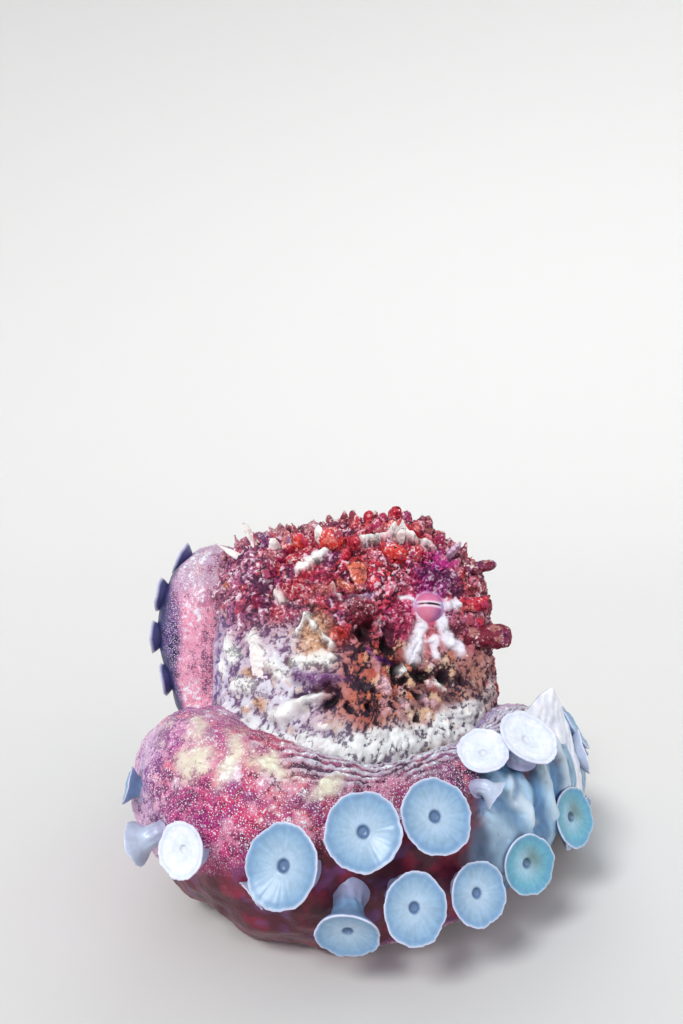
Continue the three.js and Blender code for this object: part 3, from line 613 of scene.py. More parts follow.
# Marks of the body skin: from, to, half width, height and colour. The sunk near-black ones are painted shade in
# holes and gaps of the skin.
BODY_MARKS = [
    ((-49.6, -40, 137.5), (-38.6, -33, 145.8), 2.7, 3.0, CREAM),
    ((-52.5, -42, 138.5), (-54, -46, 128), 0.9, -2.6, SHADE_BLACK), ((-49, -44, 134), (-50, -47, 128), 3.4, 3.0, RED),
    ((-28, -51, 122), (-15, -48.5, 126), 1.4, 3.0, LILAC), ((-28, -51, 122), (-31, -53, 117), 1.2, 2.4, LILAC),
    ((-19, -55, 114), (-20, -57, 110), 3.2, -5.5, SHADE_BLACK),
    ((-29.8, -59, 108), (-29, -60, 105), 1.8, -3.5, SHADE_BLACK), ((-10, -57, 105), (-9, -57, 102), 2.4, -4.0, SHADE_BLACK),
    ((-37, -71, 80), (-33, -71, 83), 2.6, -4.0, SHADE_BLACK),
    ((-18.4, -71.8, 80.7), (-17, -71, 78), 1.8, -3.5, SHADE_BLACK), ((5, -58, 90), (9, -58, 91), 2.8, -4.0, SHADE_BLACK),
    ((17, -57, 92), (16, -58, 86), 2.0, -3.5, SHADE_BLACK), ((-45.5, -52, 121), (-41, -52, 120), 1.7, -2.5, SHADE_BLACK),
    ((24.5, -54, 96), (23.5, -56, 82), 1.0, -2.8, SHADE_BLACK), ((-5, -60, 95), (-6, -62, 90), 1.8, -3.0, SHADE_BLACK),
    ((-27, -72, 80), (-25, -73, 77), 2.0, -3.2, SHADE_BLACK), ((-17, -60, 103), (-12, -61, 98), 1.5, 1.6, INDIGO),
    ((-13, -61, 98), (-6, -60, 95), 1.0, -1.0, INDIGO), ((-31, -60, 103), (-27, -61, 100), 1.2, 1.0, INDIGO),
    # Painted shade: a dark sunk line under the purple fold.
    ((-52, -69, 84.5), (-44, -70, 84.5), 1.3, -2.0, PURPLE * 0.4),
    ((-53.4, -60, 100), (-51, -62, 94), 1.6, -0.6, DARK_RED), ((-67, -63, 79), (-65, -64, 77), 2.6, 1.2, TAN),
    ((-59, -64, 84.5), (-58, -64, 83.5), 1.7, 1.4, ORANGE), ((-74, -60, 75), (-70, -62, 74), 1.4, 0.8, TAN),
    ((-63, -58, 93), (-60, -60, 91), 2.2, 0.4, linear(150, 90, 96)),
    ((-73, -53, 91), (-70, -55, 89), 2.0, 0.8, TAN), ((-12, -66, 89), (-11, -66, 86), 2.9, 2.6, PINK),
    ((-13, -52.5, 113.5), (-12.5, -52.5, 113), 2.0, 2.0, PINK), ((-2, -59, 93), (-3, -60, 92), 1.9, 2.2, CREAM),
    ((7.4, -64, 81), (8, -64, 80), 2.2, 2.4, PINK), ((14.5, -59, 87), (13, -59, 88), 1.9, 2.2, CREAM),
    ((-2.3, -67, 80.6), (-3, -67, 79), 2.2, 2.2, PINK),
    ((10, -60, 94), (11, -60, 93), 1.6, 1.8, linear(200, 168, 130)),
    ((-5, -62, 84.5), (-4, -63, 83), 1.5, 1.6, CREAM), ((-60.5, -45, 125.5), (-56, -47, 121), 2.2, 2.6, CREAM),
    ((-90.3, -16.5, 129), (-88, -22, 127), 2.4, 1.4, ORANGE),
    ((-50, -66, 91.5), (-38, -68, 90), 3.4, 5.0, PURPLE),
    ((-38, -68, 90), (-28, -68.5, 90.5), 2.2, 4.0, PURPLE),
    ((-50, -66, 93.8), (-31, -67, 92.6), 1.0, 1.8, LILAC), ((-56, -70, 76), (-47, -71, 80), 3.6, 4.0, CREAM),
    ((-47, -71, 80), (-41, -71, 86), 1.9, 3.6, CREAM),
    ((-24, -52, 119), (-19, -52.5, 117.5), 6.2, 4.6, DARK_RED),
    ((-32, -58, 109), (-30, -58, 108), 4.6, 3.8, SCARLET), ((-55, -45, 127), (-52, -46, 126), 4.8, 3.6, RED),
    ((-61, -48, 117), (-59, -49, 116), 4.2, 3.4, RED), ((-53, -50, 118), (-52, -51, 117), 3.4, 3.0, CRIMSON),
    ((-72, -40, 122), (-70, -41, 121), 3.4, 3.0, CRIMSON),
    ((-80, -33, 118), (-79, -34, 117), 3.2, 2.6, SCARLET), ((-71, -48, 106), (-66, -53, 97), 3.8, 2.6, CREAM),
    ((-60, -58, 94), (-56, -60, 92), 4.2, 2.4, CREAM), ((-85, -38, 100), (-80, -44, 96), 4.5, 2.0, CREAM),
    ((-78, -52, 84), (-70, -57, 84), 4.0, 2.0, CREAM), ((-60, -66, 74), (-52, -68, 72), 3.6, 1.8, CREAM),
    ((-86, -36, 92), (-84, -42, 86), 3.4, 1.6, CREAM), ((-20, -29, 148), (-4, -23, 152), 2.0, 5.5, CREAM),
    ((-4, -23, 152), (0, -20, 153), 2.6, 6.5, CREAM), ((1, -22, 152), (17, -26, 148), 2.1, 5.5, CREAM),
    ((-42, -56, 113), (-42, -61, 102), 7.0, 2.4, TAN), ((-46, -54, 117), (-53, -60, 103), 1.7, 4.2, CREAM),
    ((-46, -54, 117), (-34, -60, 104), 1.6, 3.8, CREAM), ((-50, -62, 97), (-36, -63, 99), 3.0, 2.2, CREAM),
    ((-35, -48, 128), (-30, -50, 123), 1.6, 2.6, CREAM), ((-38, -47, 129), (-35, -48, 128), 1.2, 1.8, CREAM),
    # Painted shade: a dark sunk line under the purple fold.
    ((-49, -69, 88), (-32, -70, 86.5), 1.2, -2.8, DARK_RED * 0.4),
    ((-8, -30, 147), (8, -29, 146), 1.3, -1.6, DARK_RED),
    ((12, -38.5, 136), (25, -37, 132), 6.0, 1.6, linear(114, 16, 88)),
    ((0, -43, 133), (14, -42, 131), 5.0, 1.4, linear(128, 30, 92)),
    ((-2, -50, 117), (2, -49, 111), 6.0, 0.8, CRIMSON),
    ((31, -37, 112), (32, -40, 104), 4.0, 0.6, linear(186, 96, 100)),
    ((-31, -46, 131), (-25, -48, 127), 2.4, 1.6, SALMON),
    ((-41, -46, 129), (-36, -48, 128), 3.0, 1.6, linear(214, 110, 110)),
    ((-44, -44, 133), (-38, -42, 136), 2.6, 1.6, CRIMSON),
]
# Soft swellings and dips of the crown: place, reach and height.
BODY_FORMS = [((-54, -6, 154), 21, -5.5), ((2, -8, 158), 15, 4.0), ((28, -12, 147), 17, -6.5)]
# The crusted white border of the body above the arm: points along it, and how far it reaches up and down.
BORDER = [
    (-88, -54, 76), (-80, -62, 70), (-62, -76, 66), (-34, -86, 66), (-4, -80, 68), (24, -65, 72), (44, -46, 79),
]
BORDER_REACH = 7.5
# Patches of special texture on the body: a place and how far each reaches.
RUGOSE = (np.array([2, -62, 89]), 27.0)
PEBBLED = (np.array([12, -62, 82]), 19.0)
# Hues that single lumps take, by their own numbers: from, to, colour and strength.
RED_LUMPS = [
    (0.0, 0.16, (112, 56, 128), 0.4), (0.16, 0.34, (210, 60, 42), 0.4), (0.34, 0.46, (224, 128, 146), 0.4),
    (0.46, 0.54, (230, 206, 226), 0.4), (0.54, 0.66, (118, 16, 42), 0.5),
]
BROWN_LUMPS = [
    (0.0, 0.2, (92, 42, 40), 0.7), (0.2, 0.4, (214, 124, 76), 0.7), (0.4, 0.56, (222, 186, 150), 0.75),
    (0.56, 0.68, (206, 160, 170), 0.7), (0.68, 0.8, (140, 62, 58), 0.7),
]
# Hues in patches on the red skin: size, seed, where in the noise they start and are full, colour and strength.
RED_PATCHES = [
    (9, 101, 0.08, 0.38, (110, 52, 126), 0.65), (8, 103, 0.08, 0.38, (212, 62, 50), 0.6),
    (6, 105, 0.08, 0.38, (222, 140, 166), 0.5),
]
CHALKY, BAR_WHITE = linear(246, 250, 250), linear(232, 230, 242)


def mark_body(p, wander, looks):
    """Adds the marks one by one. Gives their relief, and where they are soft and where crisp."""
    relief, marked, crisp = (np.zeros(p.shape[:2]) for _ in range(3))
    for a, b, half, tall, colour in BODY_MARKS:
        mark = np.exp(-(to_segment(wander, a, b) / half) ** 3)
        relief = relief + tall * mark
        if colour is CREAM and tall > 2.5:
            crisp = np.maximum(crisp, mark)
        else:
            marked = np.maximum(marked, mark)
        raised = tall > 0
        looks["crease"] = mix(looks["crease"], colour * 0.4, 0.9 * mark)
        looks["flesh"] = mix(looks["flesh"], colour, 0.95 * mark)
        looks["tips"] = mix(looks["tips"], mix(colour, CHALKY, 0.5 if raised else 0.0), mark)
        # Sunk marks get a lower shade, toward their dark crease colour: painted shade in them.
        looks["shade"] = looks["shade"] + (0.1 if raised else -8 / 15) * mark
    return relief, marked, crisp


def make_body():
    """The skin over the mantle and the head. Gives it without its relief, for the papillae to stand on."""
    azimuth = spread((172, 368, 300), (368, 532, 140))
    elevation = spread((-84, -46, 12), (-46, 50, 160), (50, 86, 50), (86, 89.4, 3))[:, None]
    base = body_surface(np.stack(np.broadcast_arrays(
        np.cos(azimuth) * np.cos(elevation), np.sin(azimuth) * np.cos(elevation), np.sin(elevation),
    ), -1))
    normal = grid_normals(base, BODY_CENTRE)
    for place, reach, grown in BODY_FORMS:
        base = base + normal * (grown * np.exp(-(distance(base, place) / reach) ** 2))[..., None]
    p = base
    x, y, z = np.moveaxis(p, -1, 0)

    # How the skin is built up: big lumps, scales on them and grains on those, each with its own number.
    eye_away = np.min([distance(p, eye) for eye in EYES.values()], axis=0)
    calm = smooth(7.7, 10, eye_away)  # 0 at the eyes, 1 away from them
    low = smooth(56, 62, z)
    warp = 3.4 * drift(p, 7, 0)
    warp = warp + 1.2 * drift(p, 2.8, 3)
    lumps = np.sqrt(domes(p + warp, 9.0, 21, 1.4)[0])
    mids, mid_tag = domes(p + 0.7 * warp, 4.6, 31, 1.5)
    mids = np.sqrt(mids)
    grains, grain_tag = domes(p + 0.2 * warp, 1.9, 61, 1.6)
    behind = np.maximum(smooth(-34, -8, y - 0.3 * np.abs(x + 20)), smooth(33, 43, x))
    upper = np.maximum(smooth(98, 122, z), 0.8 * behind * smooth(56, 84, z))
    rugose, pebbled = (np.exp(-(distance(p, place) / reach) ** 4) for place, reach in (RUGOSE, PEBBLED))
    ridges = 1 - 2 * np.abs(rough(p + warp, 9, 3))
    pits, pebbles = (
        where * (1 - smooth(full, gone, near)) * (tag > 0.55)
        for where, (near, _, tag), full, gone in (
            (rugose, cells(p + 0.6 * warp, 6.5, 41), 0.16, 0.38),
            (pebbled, cells(p + 0.3 * warp, 4.6, 47), 0.3, 0.46),
        )
    )
    height = calm * low * (
        (lumps - 0.6) * (0.8 + 2.6 * upper) + (mids - 0.6) * (1.0 + 0.2 * upper + 1.0 * rugose)
        + rough(p, 26, 3) * 2.2 + (ridges - 0.4) * (1.3 + rugose) + rough(p, 4, 8) * (0.7 + 0.6 * upper)
        - 2.6 * pits + 1.5 * pebbles
    ) + (grains - 0.5) * (0.2 + calm * (0.25 + 0.4 * upper + 0.35 * rugose))

    # The share of dark and light at each point, and the colours that it runs between. Low in the grooves between
    # lumps it is dark, toward the crease colour: partly the skin's own dark creases, partly painted shade in the
    # grooves.
    wander = p + 1.5 * drift(p, 5, 50)
    wander = wander + 0.8 * drift(p, 2.4, 53)
    shade = 0.54 + 0.45 * (lumps - 0.72) + 0.42 * (mids - 0.72) + 0.2 * (grains - 0.5) + 0.14 * (ridges - 0.3)
    shade = shade + 0.26 * (grain_tag - 0.5) + 0.3 * (mid_tag - 0.5) + 0.2 * rough(p + 30, 10, 13)
    crease, flesh, tips = palette(base, BODY_SKIN)

    # The crusted border in layers.
    border = np.min([to_segment(wander, a, b) for a, b in zip(BORDER, BORDER[1:])], axis=0)
    border = 1 - smooth(0.6, 1.0, border / (BORDER_REACH * (1 + 0.55 * rough(p, 8, 19))))
    border = border * (1 - 0.6 * smooth(14, 40, x))
    layers = np.sin(2.0 * (z + 4.6 * noise(p, 11, 15) + 3.0 * noise(p, 4, 16)))
    height = height + border * (1.0 + 0.9 * lumps + 0.5 * layers)
    shade = shade + border * (0.03 + 0.2 * layers)
    flesh, tips = mix(flesh, linear(242, 246, 248), border * 0.95), mix(tips, CHALKY, border)
    crease = mix(crease, linear(118, 106, 124), 0.8 * border)
    shade = shade + 0.14 * border

    # Single scales and lumps take other hues of the animal, more so where the skin is dark.
    dark = 1 - smooth(0.3, 0.55, flesh.mean(-1))
    reds, pales = dark * upper, 1 - dark
    flesh = tint_and_painted_light(flesh, by_number(RED_LUMPS, mid_tag, reds) + by_patch(RED_PATCHES, p, reds))
    flesh = tint_and_painted_light(flesh, [
        ((236, 214, 230), 0.75 * reds * (grain_tag > 0.86)), ((84, 14, 42), 0.6 * reds * (grain_tag < 0.12)),
        ((150, 96, 140), 0.5 * pales * (mid_tag < 0.14) * (1 - border)),
        ((204, 160, 120), 0.5 * pales * (grain_tag > 0.9) * (1 - border)),
        ((186, 182, 188), 0.5 * border * (mid_tag > 0.76)),
    ])
    flesh = tint_and_painted_light(flesh, by_number(BROWN_LUMPS, mid_tag, rugose * dark * (1 - upper)))
    flesh, tips = mix(flesh, linear(236, 214, 208), 0.85 * pebbles), mix(tips, CHALKY, pebbles)
    # The pits are painted near black and given a lower shade: painted shade inside them.
    crease = mix(crease, SHADE_BLACK, 0.85 * pits)
    looks = skin_looks(crease, flesh, tips, shade - 0.55 * pits + 0.22 * pebbles, 0, 0)
    relief, marked, crisp = mark_body(p, wander, looks)

    # The eyes' surroundings: pale bars, stripes, a raised lid in a shallow socket, and a lilac edge above.
    bars, stripes = (np.max([
        np.exp(-(to_segment(p + 0.95 * (wander - p), a, b) / half) ** 4) for a, b, half in lines
    ], axis=0) for lines in (EYE_BARS, EYE_STRIPES))
    lid = np.exp(-((eye_away - 8.05) / 0.5) ** 2)
    socket = 1 - smooth(7.9, 9.6, eye_away)
    under_eye = np.exp(-np.linalg.norm((p - np.array([12.5, -50, 105])) / np.array([4.5, 9, 9]), axis=-1) ** 4)
    edge = lid * smooth(-6, 4, z - EYES["eye_right"][2] + 0.5 * noise(p, 4, 77))
    looks["flesh"] = tint_and_painted_light(looks["flesh"], [((206, 120, 128), 0.85 * under_eye), ((120, 40, 62), 0.9 * stripes)])
    looks["crease"] = tint_and_painted_light(looks["crease"], [((120, 40, 60), under_eye), ((60, 10, 40), stripes)])
    for amount, colour in ((edge * 0.6, linear(190, 164, 206)), (bars, BAR_WHITE)):
        for part, share in (("flesh", 1.0), ("tips", 1.0), ("crease", 0.7)):
            looks[part] = mix(looks[part], colour * share, amount)
    quiet = np.clip(0.55 * bars + edge + 0.25 * under_eye + (1 - calm), 0, 1)
    looks["shade"] = looks["shade"] * (1 - quiet) + 0.6 * quiet + 0.16 * crisp
    speckle = 0.26 + 0.5 * upper + 0.14 * rugose + 0.3 * marked - 0.3 * crisp * upper
    looks["speckle"] = speckle * (1 - 0.75 * quiet)
    height = height * (1 - 0.75 * crisp) + relief + lid * 0.7 + bars * 0.7 * calm - 0.9 * socket
    p = base + normal * height[..., None]
    build_grid(p, looks, "skin_body", BODY_MATERIAL, "body_skin", ["mantle", "head"])
    return base


body_base = make_body()


# ---- papillae --------------------------------------------


def body_spot(place):
    """The skin's point nearest to a place, and the way out of it."""
    away = distance(body_base, place)
    r, c = np.unravel_index(np.argmin(away), away.shape)
    rows, cols = body_base.shape[:2]
    r = min(max(r, 1), rows - 2)
    along = body_base[r + 1, c] - body_base[r - 1, c]
    across = body_base[r, (c + 1) % cols] - body_base[r, c - 1]
    out = np.cross(across, along)
    out /= np.linalg.norm(out)
    if out @ (body_base[r, c] - BODY_CENTRE) < 0:
        out = -out
    return body_base[r, c], out


LEAF_CURL = 0.12  # how far a papilla's tip leans to its broad face, as a share of its length


def leaf(root, way, flat, length, width, thick, blunt, seed):
    """A flap of skin: rows from its sunk root to its tip. flat is the way its broad face looks."""
    rows, cols = (34, 44) if length * width > 45 else (16, 20) if length * width > 14 else (10, 13)
    way = unit(way)
    side = unit(np.cross(way, flat))
    face = np.cross(side, way)
    t = np.linspace(0, 1, rows)[:, None]
    turn = circle(cols)
    reach = np.sqrt(np.clip(1 - t ** (2 + 4 * blunt), 0, 1)) * (1 - (1 - blunt) * 0.72 * t)
    reach = np.maximum(reach, 0.03) * (1 + 0.35 * np.clip(1 - t / 0.3, 0, 1) ** 2)
    bend = rough(np.array([[seed * 3.1, 5.0, 7.0]]), 1.0, seed)[0] * 0.12
    depth = 2 + 0.35 * width  # how far the root is sunk in the skin
    line = root + way * (t * (length + depth) - depth)[..., None]
    line = line + (face * LEAF_CURL + side * bend) * (length * t ** 2)[..., None]
    ring = side * (np.cos(turn) * reach * width / 2)[..., None]
    ring = ring + face * (np.sin(turn) * reach * thick / 2)[..., None]
    p = line + ring + face * (0.1 * width * np.cos(turn) ** 2 * t)[..., None]
    way_out, rise = unit(ring), np.minimum(t * 3, 1)
    jag = rough(p + seed * 13.7, 3.4, seed)[..., None] * (0.5 + 0.11 * width)
    p = p + way_out * jag * rise[..., None] * (0.55 + 0.45 * np.abs(np.cos(turn)))[..., None]
    p = p + way_out * (rough(p, 1.5, seed + 3) * rise * 0.07 * width)[..., None]
    rim = np.abs(np.cos(turn)) ** 5 * t ** 0.5 + smooth(0.72, 1, t)
    return p, np.clip(rim, 0, 1)


# The large papillae: place, way, length, width, thickness, bluntness, how white their edges are, and colour.
LARGE_PAPILLAE = [
    ((-85.3, -12, 142.5), (-0.9, -0.1, 0.42), 13, 5, 3, 0.2, 1.0, CREAM),
    ((-75.5, -11, 148.5), (-0.55, -0.1, 0.8), 13, 7, 3, 0.6, 1.0, CREAM),
    ((-74.6, -14, 147.5), (-0.05, -0.3, 0.95), 8, 4.5, 2.5, 0.2, 0.3, CRIMSON),
    ((-70, -17, 147.5), (-0.1, -0.3, 0.9), 8, 5, 2.5, 0.3, 0.7, PURPLE),
    ((-64.4, -22, 147), (-0.1, -0.6, 0.75), 6, 8, 3, 0.6, 1.0, CREAM),
    ((-57.3, -21, 149), (-0.1, -0.3, 0.95), 6, 6, 3, 0.3, 0.9, LILAC),
    ((-56.7, -27, 145), (0.0, -0.8, 0.55), 5, 7, 5, 0.85, 0.3, RED),
    ((-59.3, -32, 140), (0.0, -0.8, 0.5), 5, 7.5, 5, 0.85, 0.3, CRIMSON),
    ((-53.5, -35, 139), (0.0, -0.8, 0.5), 5, 7, 5, 0.85, 0.2, RED),
    ((-51.3, -26, 146), (-0.1, -0.6, 0.8), 7, 5.5, 5, 0.9, 0.1, SCARLET),
    ((-34.8, -26, 146.5), (0.0, -0.78, 0.62), 9, 12.5, 12, 0.95, 0.12, SCARLET),
    ((-39.5, -23, 148), (-0.35, -0.4, 0.8), 9, 14, 4.5, 0.9, 1.0, CREAM),
    ((-24.3, -29, 145), (0.1, -0.75, 0.6), 7, 7.5, 7, 0.9, 0.15, RED),
    ((-15.3, 0, 158), (-0.1, -0.2, 0.95), 6, 7, 6, 0.95, 0.1, RED),
    ((-1.4, 0, 160), (0.0, -0.1, 1.0), 8, 8, 7, 0.95, 0.1, RED),
    ((-8, -6, 158), (-0.1, -0.2, 0.9), 5, 7, 6, 0.9, 0.2, CRIMSON),
    ((5, -5, 159), (0.1, -0.2, 0.9), 6, 7, 6, 0.9, 0.3, CRIMSON),
    ((-12, -17, 154), (-0.1, -0.6, 0.75), 5, 9, 7, 0.9, 0.2, CRIMSON),
    ((-3, -17, 154.5), (0.0, -0.6, 0.75), 5, 10, 7, 0.9, 0.1, SCARLET),
    ((8, -16, 154), (0.2, -0.5, 0.8), 5, 8, 6, 0.9, 0.2, RED),
    ((-1, -23, 151.5), (0.0, -0.75, 0.7), 7, 9, 3.5, 0.3, 1.0, CREAM),
    ((-5.4, -28, 142.5), (0.0, -0.92, 0.3), 5.5, 15, 8, 0.95, 0.15, SCARLET),
    ((6.7, -27, 142.5), (0.1, -0.92, 0.3), 5.5, 9, 8, 0.95, 0.2, RED),
    ((20, -18, 150), (0.4, -0.5, 0.75), 6, 7, 4, 0.6, 0.4, CRIMSON),
    ((14, -16, 152), (0.4, -0.4, 0.8), 8, 5, 3.5, 0.4, 0.1, DARK_RED),
    ((28, -20, 146), (0.6, -0.4, 0.6), 7, 7, 4, 0.6, 0.5, LILAC),
    ((36, -25, 137), (0.97, -0.2, 0.05), 12, 7.5, 6, 0.85, 0.1, DARK_RED),
    ((-22.2, -43, 134.5), (0.06, -0.62, -0.75), 10, 9, 5, 0.5, 0.5, SALMON),
    ((-66, -55, 93), (-0.28, 0.1, 0.95), 15, 12, 4, 0.25, 1.0, CREAM),
    ((31.5, -37, 119.5), (0.99, -0.2, 0.03), 10, 6, 6, 1.3, 0.0, RED),
    ((34, -41, 105), (0.99, -0.15, -0.02), 17, 8.5, 7.5, 1.8, 0.1, DARK_RED),
    ((38, -43, 112), (0.8, -0.4, 0.3), 4, 6, 5, 0.9, 0.15, RED),
]
# The small papillae, scattered at random: how many, from what height up, their sizes and how much they point up.
SCATTERED = [(62, 120, (3.4, 6.6), 0.4), (170, 70, (1.5, 2.8), 0.2)]


def scatter(spots, random, count, low, sizes, steep):
    """Adds papillae at random over the body, by the area that each point of the grid has."""
    rows, cols = body_base.shape[:2]
    area = np.linalg.norm(np.roll(body_base, -1, 1) - body_base, axis=-1)
    area = area * np.linalg.norm(np.gradient(body_base, axis=0), axis=-1)
    crown = smooth(-50, -38, body_base[..., 0]) * (1 - smooth(-12, 0, body_base[..., 1]))
    chance = area * smooth(low, low + 14, body_base[..., 2]) * (1 - 0.8 * crown)
    chance[:40] = chance[-6:] = 0  # none near the poles of the grid
    for pick in random.choice(rows * cols, count, p=(chance / chance.sum()).ravel(), replace=False):
        root, out = body_spot(body_base[divmod(int(pick), cols)])
        length, width = random.uniform(*sizes), random.uniform(*sizes) * 1.43
        way = unit(out + steep * UP + random.normal(0, 0.5, 3))
        thick, blunt = width * random.uniform(0.35, 0.75), random.uniform(0.0, 0.75)
        white = random.uniform(0, 1) ** 1.2
        colour = palette(root[None, :], BODY_SKIN)[1][0] * random.uniform(0.75, 1.2)
        if min(distance(root, eye) for eye in EYES.values()) > 15:
            spots.append((root, way, out, length, width, thick, blunt, white, colour))


def make_papillae():
    """All papillae as one piece, each with its own square of the bake."""
    random = np.random.default_rng(14)
    spots = []
    for place, way, *rest in LARGE_PAPILLAE:
        root, out = body_spot(place)
        spots.append((root, way, out, *rest))
    for given in SCATTERED:
        scatter(spots, random, *given)
    tiles = math.ceil(math.sqrt(len(spots)))
    tip = linear(250, 242, 240)
    pieces = Pieces()
    for i, (root, way, out, length, width, thick, blunt, white, colour) in enumerate(spots):
        cream = colour is CREAM
        p, rim = leaf(root, way, out + np.array([0.05, -0.1, 0.3]), length, width, thick, blunt, i)
        grains, grain = domes(p, 1.9, 91, 1.6)
        patch_tag = cells(p + 1.5 * drift(p, 3, 0), 4.2, 93)[2]
        # Lighter on the grains and darker in the grooves between them, toward the fold colour: partly the skin's
        # own creases, partly painted shade.
        shade = 0.3 + 0.26 * grains + 0.26 * grain + 0.3 * rough(p, 5, 17)
        if cream:
            shade = shade + 0.3
        shade = shade * (1 - rim * white) + (0.6 + 0.5 * rim) * rim * white
        flesh = mix(colour * np.ones_like(p), linear(112, 50, 110), 0.45 * (patch_tag < 0.16) * (not cream))
        flesh = mix(flesh, mix(colour, linear(250, 190, 176), 0.35), 0.7 * (patch_tag > 0.84))
        r, c = divmod(i, tiles)
        patch = np.array([c + 0.05, r + 0.05, c + 0.95, r + 0.95]) / tiles
        fold = linear(150, 124, 140) if cream else colour * 0.22
        looks = skin_looks(fold, flesh, tip if cream else mix(colour, tip, 0.7), shade, 0.25 if cream else 0.6, 0)
        pieces.add_grid(p, looks, patch=patch, ends=(False, True))
    pieces.build("papillae", BODY_MATERIAL, "body_skin")


make_papillae()


# ---- arms ------------------------------------------------


class Arm:
    """The middle line and sections of an arm, from its route."""

    def __init__(self, spec):
        self.spec = spec
        stops = np.array(spec["route"], float)
        turn = np.radians(stops[:, 0])
        knots = np.stack([
            CROWN[0] + stops[:, 1] * np.cos(turn), CROWN[1] + stops[:, 1] * np.sin(turn), stops[:, 2],
        ], -1)
        ends = [2 * knots[0] - knots[1], *knots, 2 * knots[-1] - knots[-2]]
        spans = len(knots) - 1
        self.t = np.linspace(0, 1, 24 * spans + 1)
        starts = [min(int(t * spans), spans - 1) for t in self.t]
        self.line = np.array([self.piece(ends[k:k + 4], t * spans - k) for k, t in zip(starts, self.t)])
        away = np.concatenate([[0], np.cumsum(np.linalg.norm(np.diff(self.line, axis=0), axis=1))])
        self.length = away[-1]
        self.u = away / self.length
        self.roll = np.radians(stops[:, 3])

    @staticmethod
    def piece(points, w):
        """One span of a centripetal Catmull-Rom curve."""
        p0, p1, p2, p3 = points
        d0, d1, d2 = (np.linalg.norm(b - a) ** 0.5 for a, b in ((p0, p1), (p1, p2), (p2, p3)))
        m1 = ((p1 - p0) / d0 - (p2 - p0) / (d0 + d1) + (p2 - p1) / d1) * d1
        m2 = ((p2 - p1) / d1 - (p3 - p1) / (d1 + d2) + (p3 - p2) / d2) * d1
        return p1 + m1 * w + (3 * (p2 - p1) - 2 * m1 - m2) * w ** 2 + (2 * (p1 - p2) + m1 + m2) * w ** 3

    def frame(self, u):
        """At each u: middle, along, under (the way the suckers face), across, and the two half widths."""
        def middle(v):
            v = np.clip(v, 0, 1)
            radius = track(self.spec["radii"], v)
            tall, thick = (radius * track(self.spec.get(key, EVEN), v) for key in ("tall", "thick"))
            t = np.interp(v, self.u, self.t)
            roll = np.interp(t, np.linspace(0, 1, len(self.roll)), self.roll)
            place = np.stack([np.interp(v, self.u, self.line[:, k]) for k in range(3)], -1)
            place[..., 2] += np.hypot(thick * np.sin(roll), tall * np.cos(roll)) - SINK
            return place, roll, tall, thick

        here, roll, tall, thick = middle(u)
        along = unit(middle(u + 0.01)[0] - middle(u - 0.01)[0])
        out = unit((here - CROWN) * np.array([1, 1, 0]))
        under = out * np.cos(roll)[..., None] - UP * np.sin(roll)[..., None]
        under = unit(under - along * (under * along).sum(-1, keepdims=True))
        return here, along, under, np.cross(under, along), tall, thick

    def foot(self, u, angle):
        """The surface's point at an angle round from the middle of the under face, the way out of it and under."""
        here, _, under, across, tall, thick = self.frame(np.array(u))
        point = here + under * thick * math.cos(angle) + across * tall * math.sin(angle)
        return point, unit(under * math.cos(angle) / thick + across * math.sin(angle) / tall), under


FRONT_ARM, DARK_ARM = "arm_right_4", "arm_left_4"
SURFACES = {}  # each arm's skin: its points and the ways out of it

# Cream blotches on the front arm: place, way they run, half length and half width.
BLOTCHES = [
    ((-85, -110, 70.5), (0.75, 0, 0.6), 7.5, 3.4), ((-72, -111, 73), (0.48, 0, 0.88), 8, 3.3),
    ((-57, -118, 72), (0.94, 0, -0.35), 9, 2.9), ((-36, -122, 65.5), (0.96, 0, 0.2), 7, 2.5),
    ((-98, -102, 74), (0.6, 0, 0.7), 6, 2.6), ((-84, -104, 79), (0.7, 0, 0.6), 6, 2.4),
    ((-80, -100, 87), (0.4, 0, 0.9), 5, 2.2), ((-103, -96, 86), (0.5, 0, 0.8), 5, 2.2),
]
# Folds and patches between the suckers at the front arm's right: from, to, half width, height and colour. The sunk
# blue-grey ones are painted shadow, and the raised near-white streaks are pale folds with painted highlight on
# them.
ORAL_MARKS = [
    ((28, 0, 50), (34, 0, 31), 5.5, 2.4, linear(178, 208, 232)),
    ((47, 0, 68), (46, 0, 62), 4.0, -1.0, linear(122, 62, 84)),
    ((17, 0, 63), (18, 0, 56), 4.5, -0.6, linear(116, 56, 60)),
    ((43, 0, 46), (36, 0, 59), 3.0, 1.8, linear(212, 228, 242)),
    ((22, 0, 44), (21, 0, 36), 3.5, -1.2, linear(96, 122, 156)),
    ((52, 0, 62), (55, 0, 44), 2.6, 1.8, linear(208, 226, 242)),
    ((38, 0, 66), (38, 0, 58), 2.6, -0.8, linear(92, 128, 168)),
    ((60, 0, 66), (64, 0, 50), 2.4, 1.4, linear(214, 228, 242)),
]
# Swellings of an arm's skin beside the mantle: place, reach along each axis and height.
SWELLINGS = {
    FRONT_ARM: [((-98, -84, 86), (19, 24, 24), 12.0), ((-86, -68, 95), (15, 18, 18), 10.0)],
    DARK_ARM: [((-130, 4, 108), (12, 40, 30), 6.5)],
}
# Hues on the arms, as in RED_LUMPS and RED_PATCHES.
ARM_LUMPS = [(0.0, 0.2, (150, 34, 122), 0.5), (0.8, 1.1, (232, 162, 192), 0.5)]
ARM_PATCHES = [
    (9, 57, 0.1, 0.45, (228, 122, 132), 0.75), (8, 58, 0.15, 0.5, (112, 50, 122), 0.65),
    (7, 59, 0.25, 0.55, (228, 212, 228), 0.75),
]


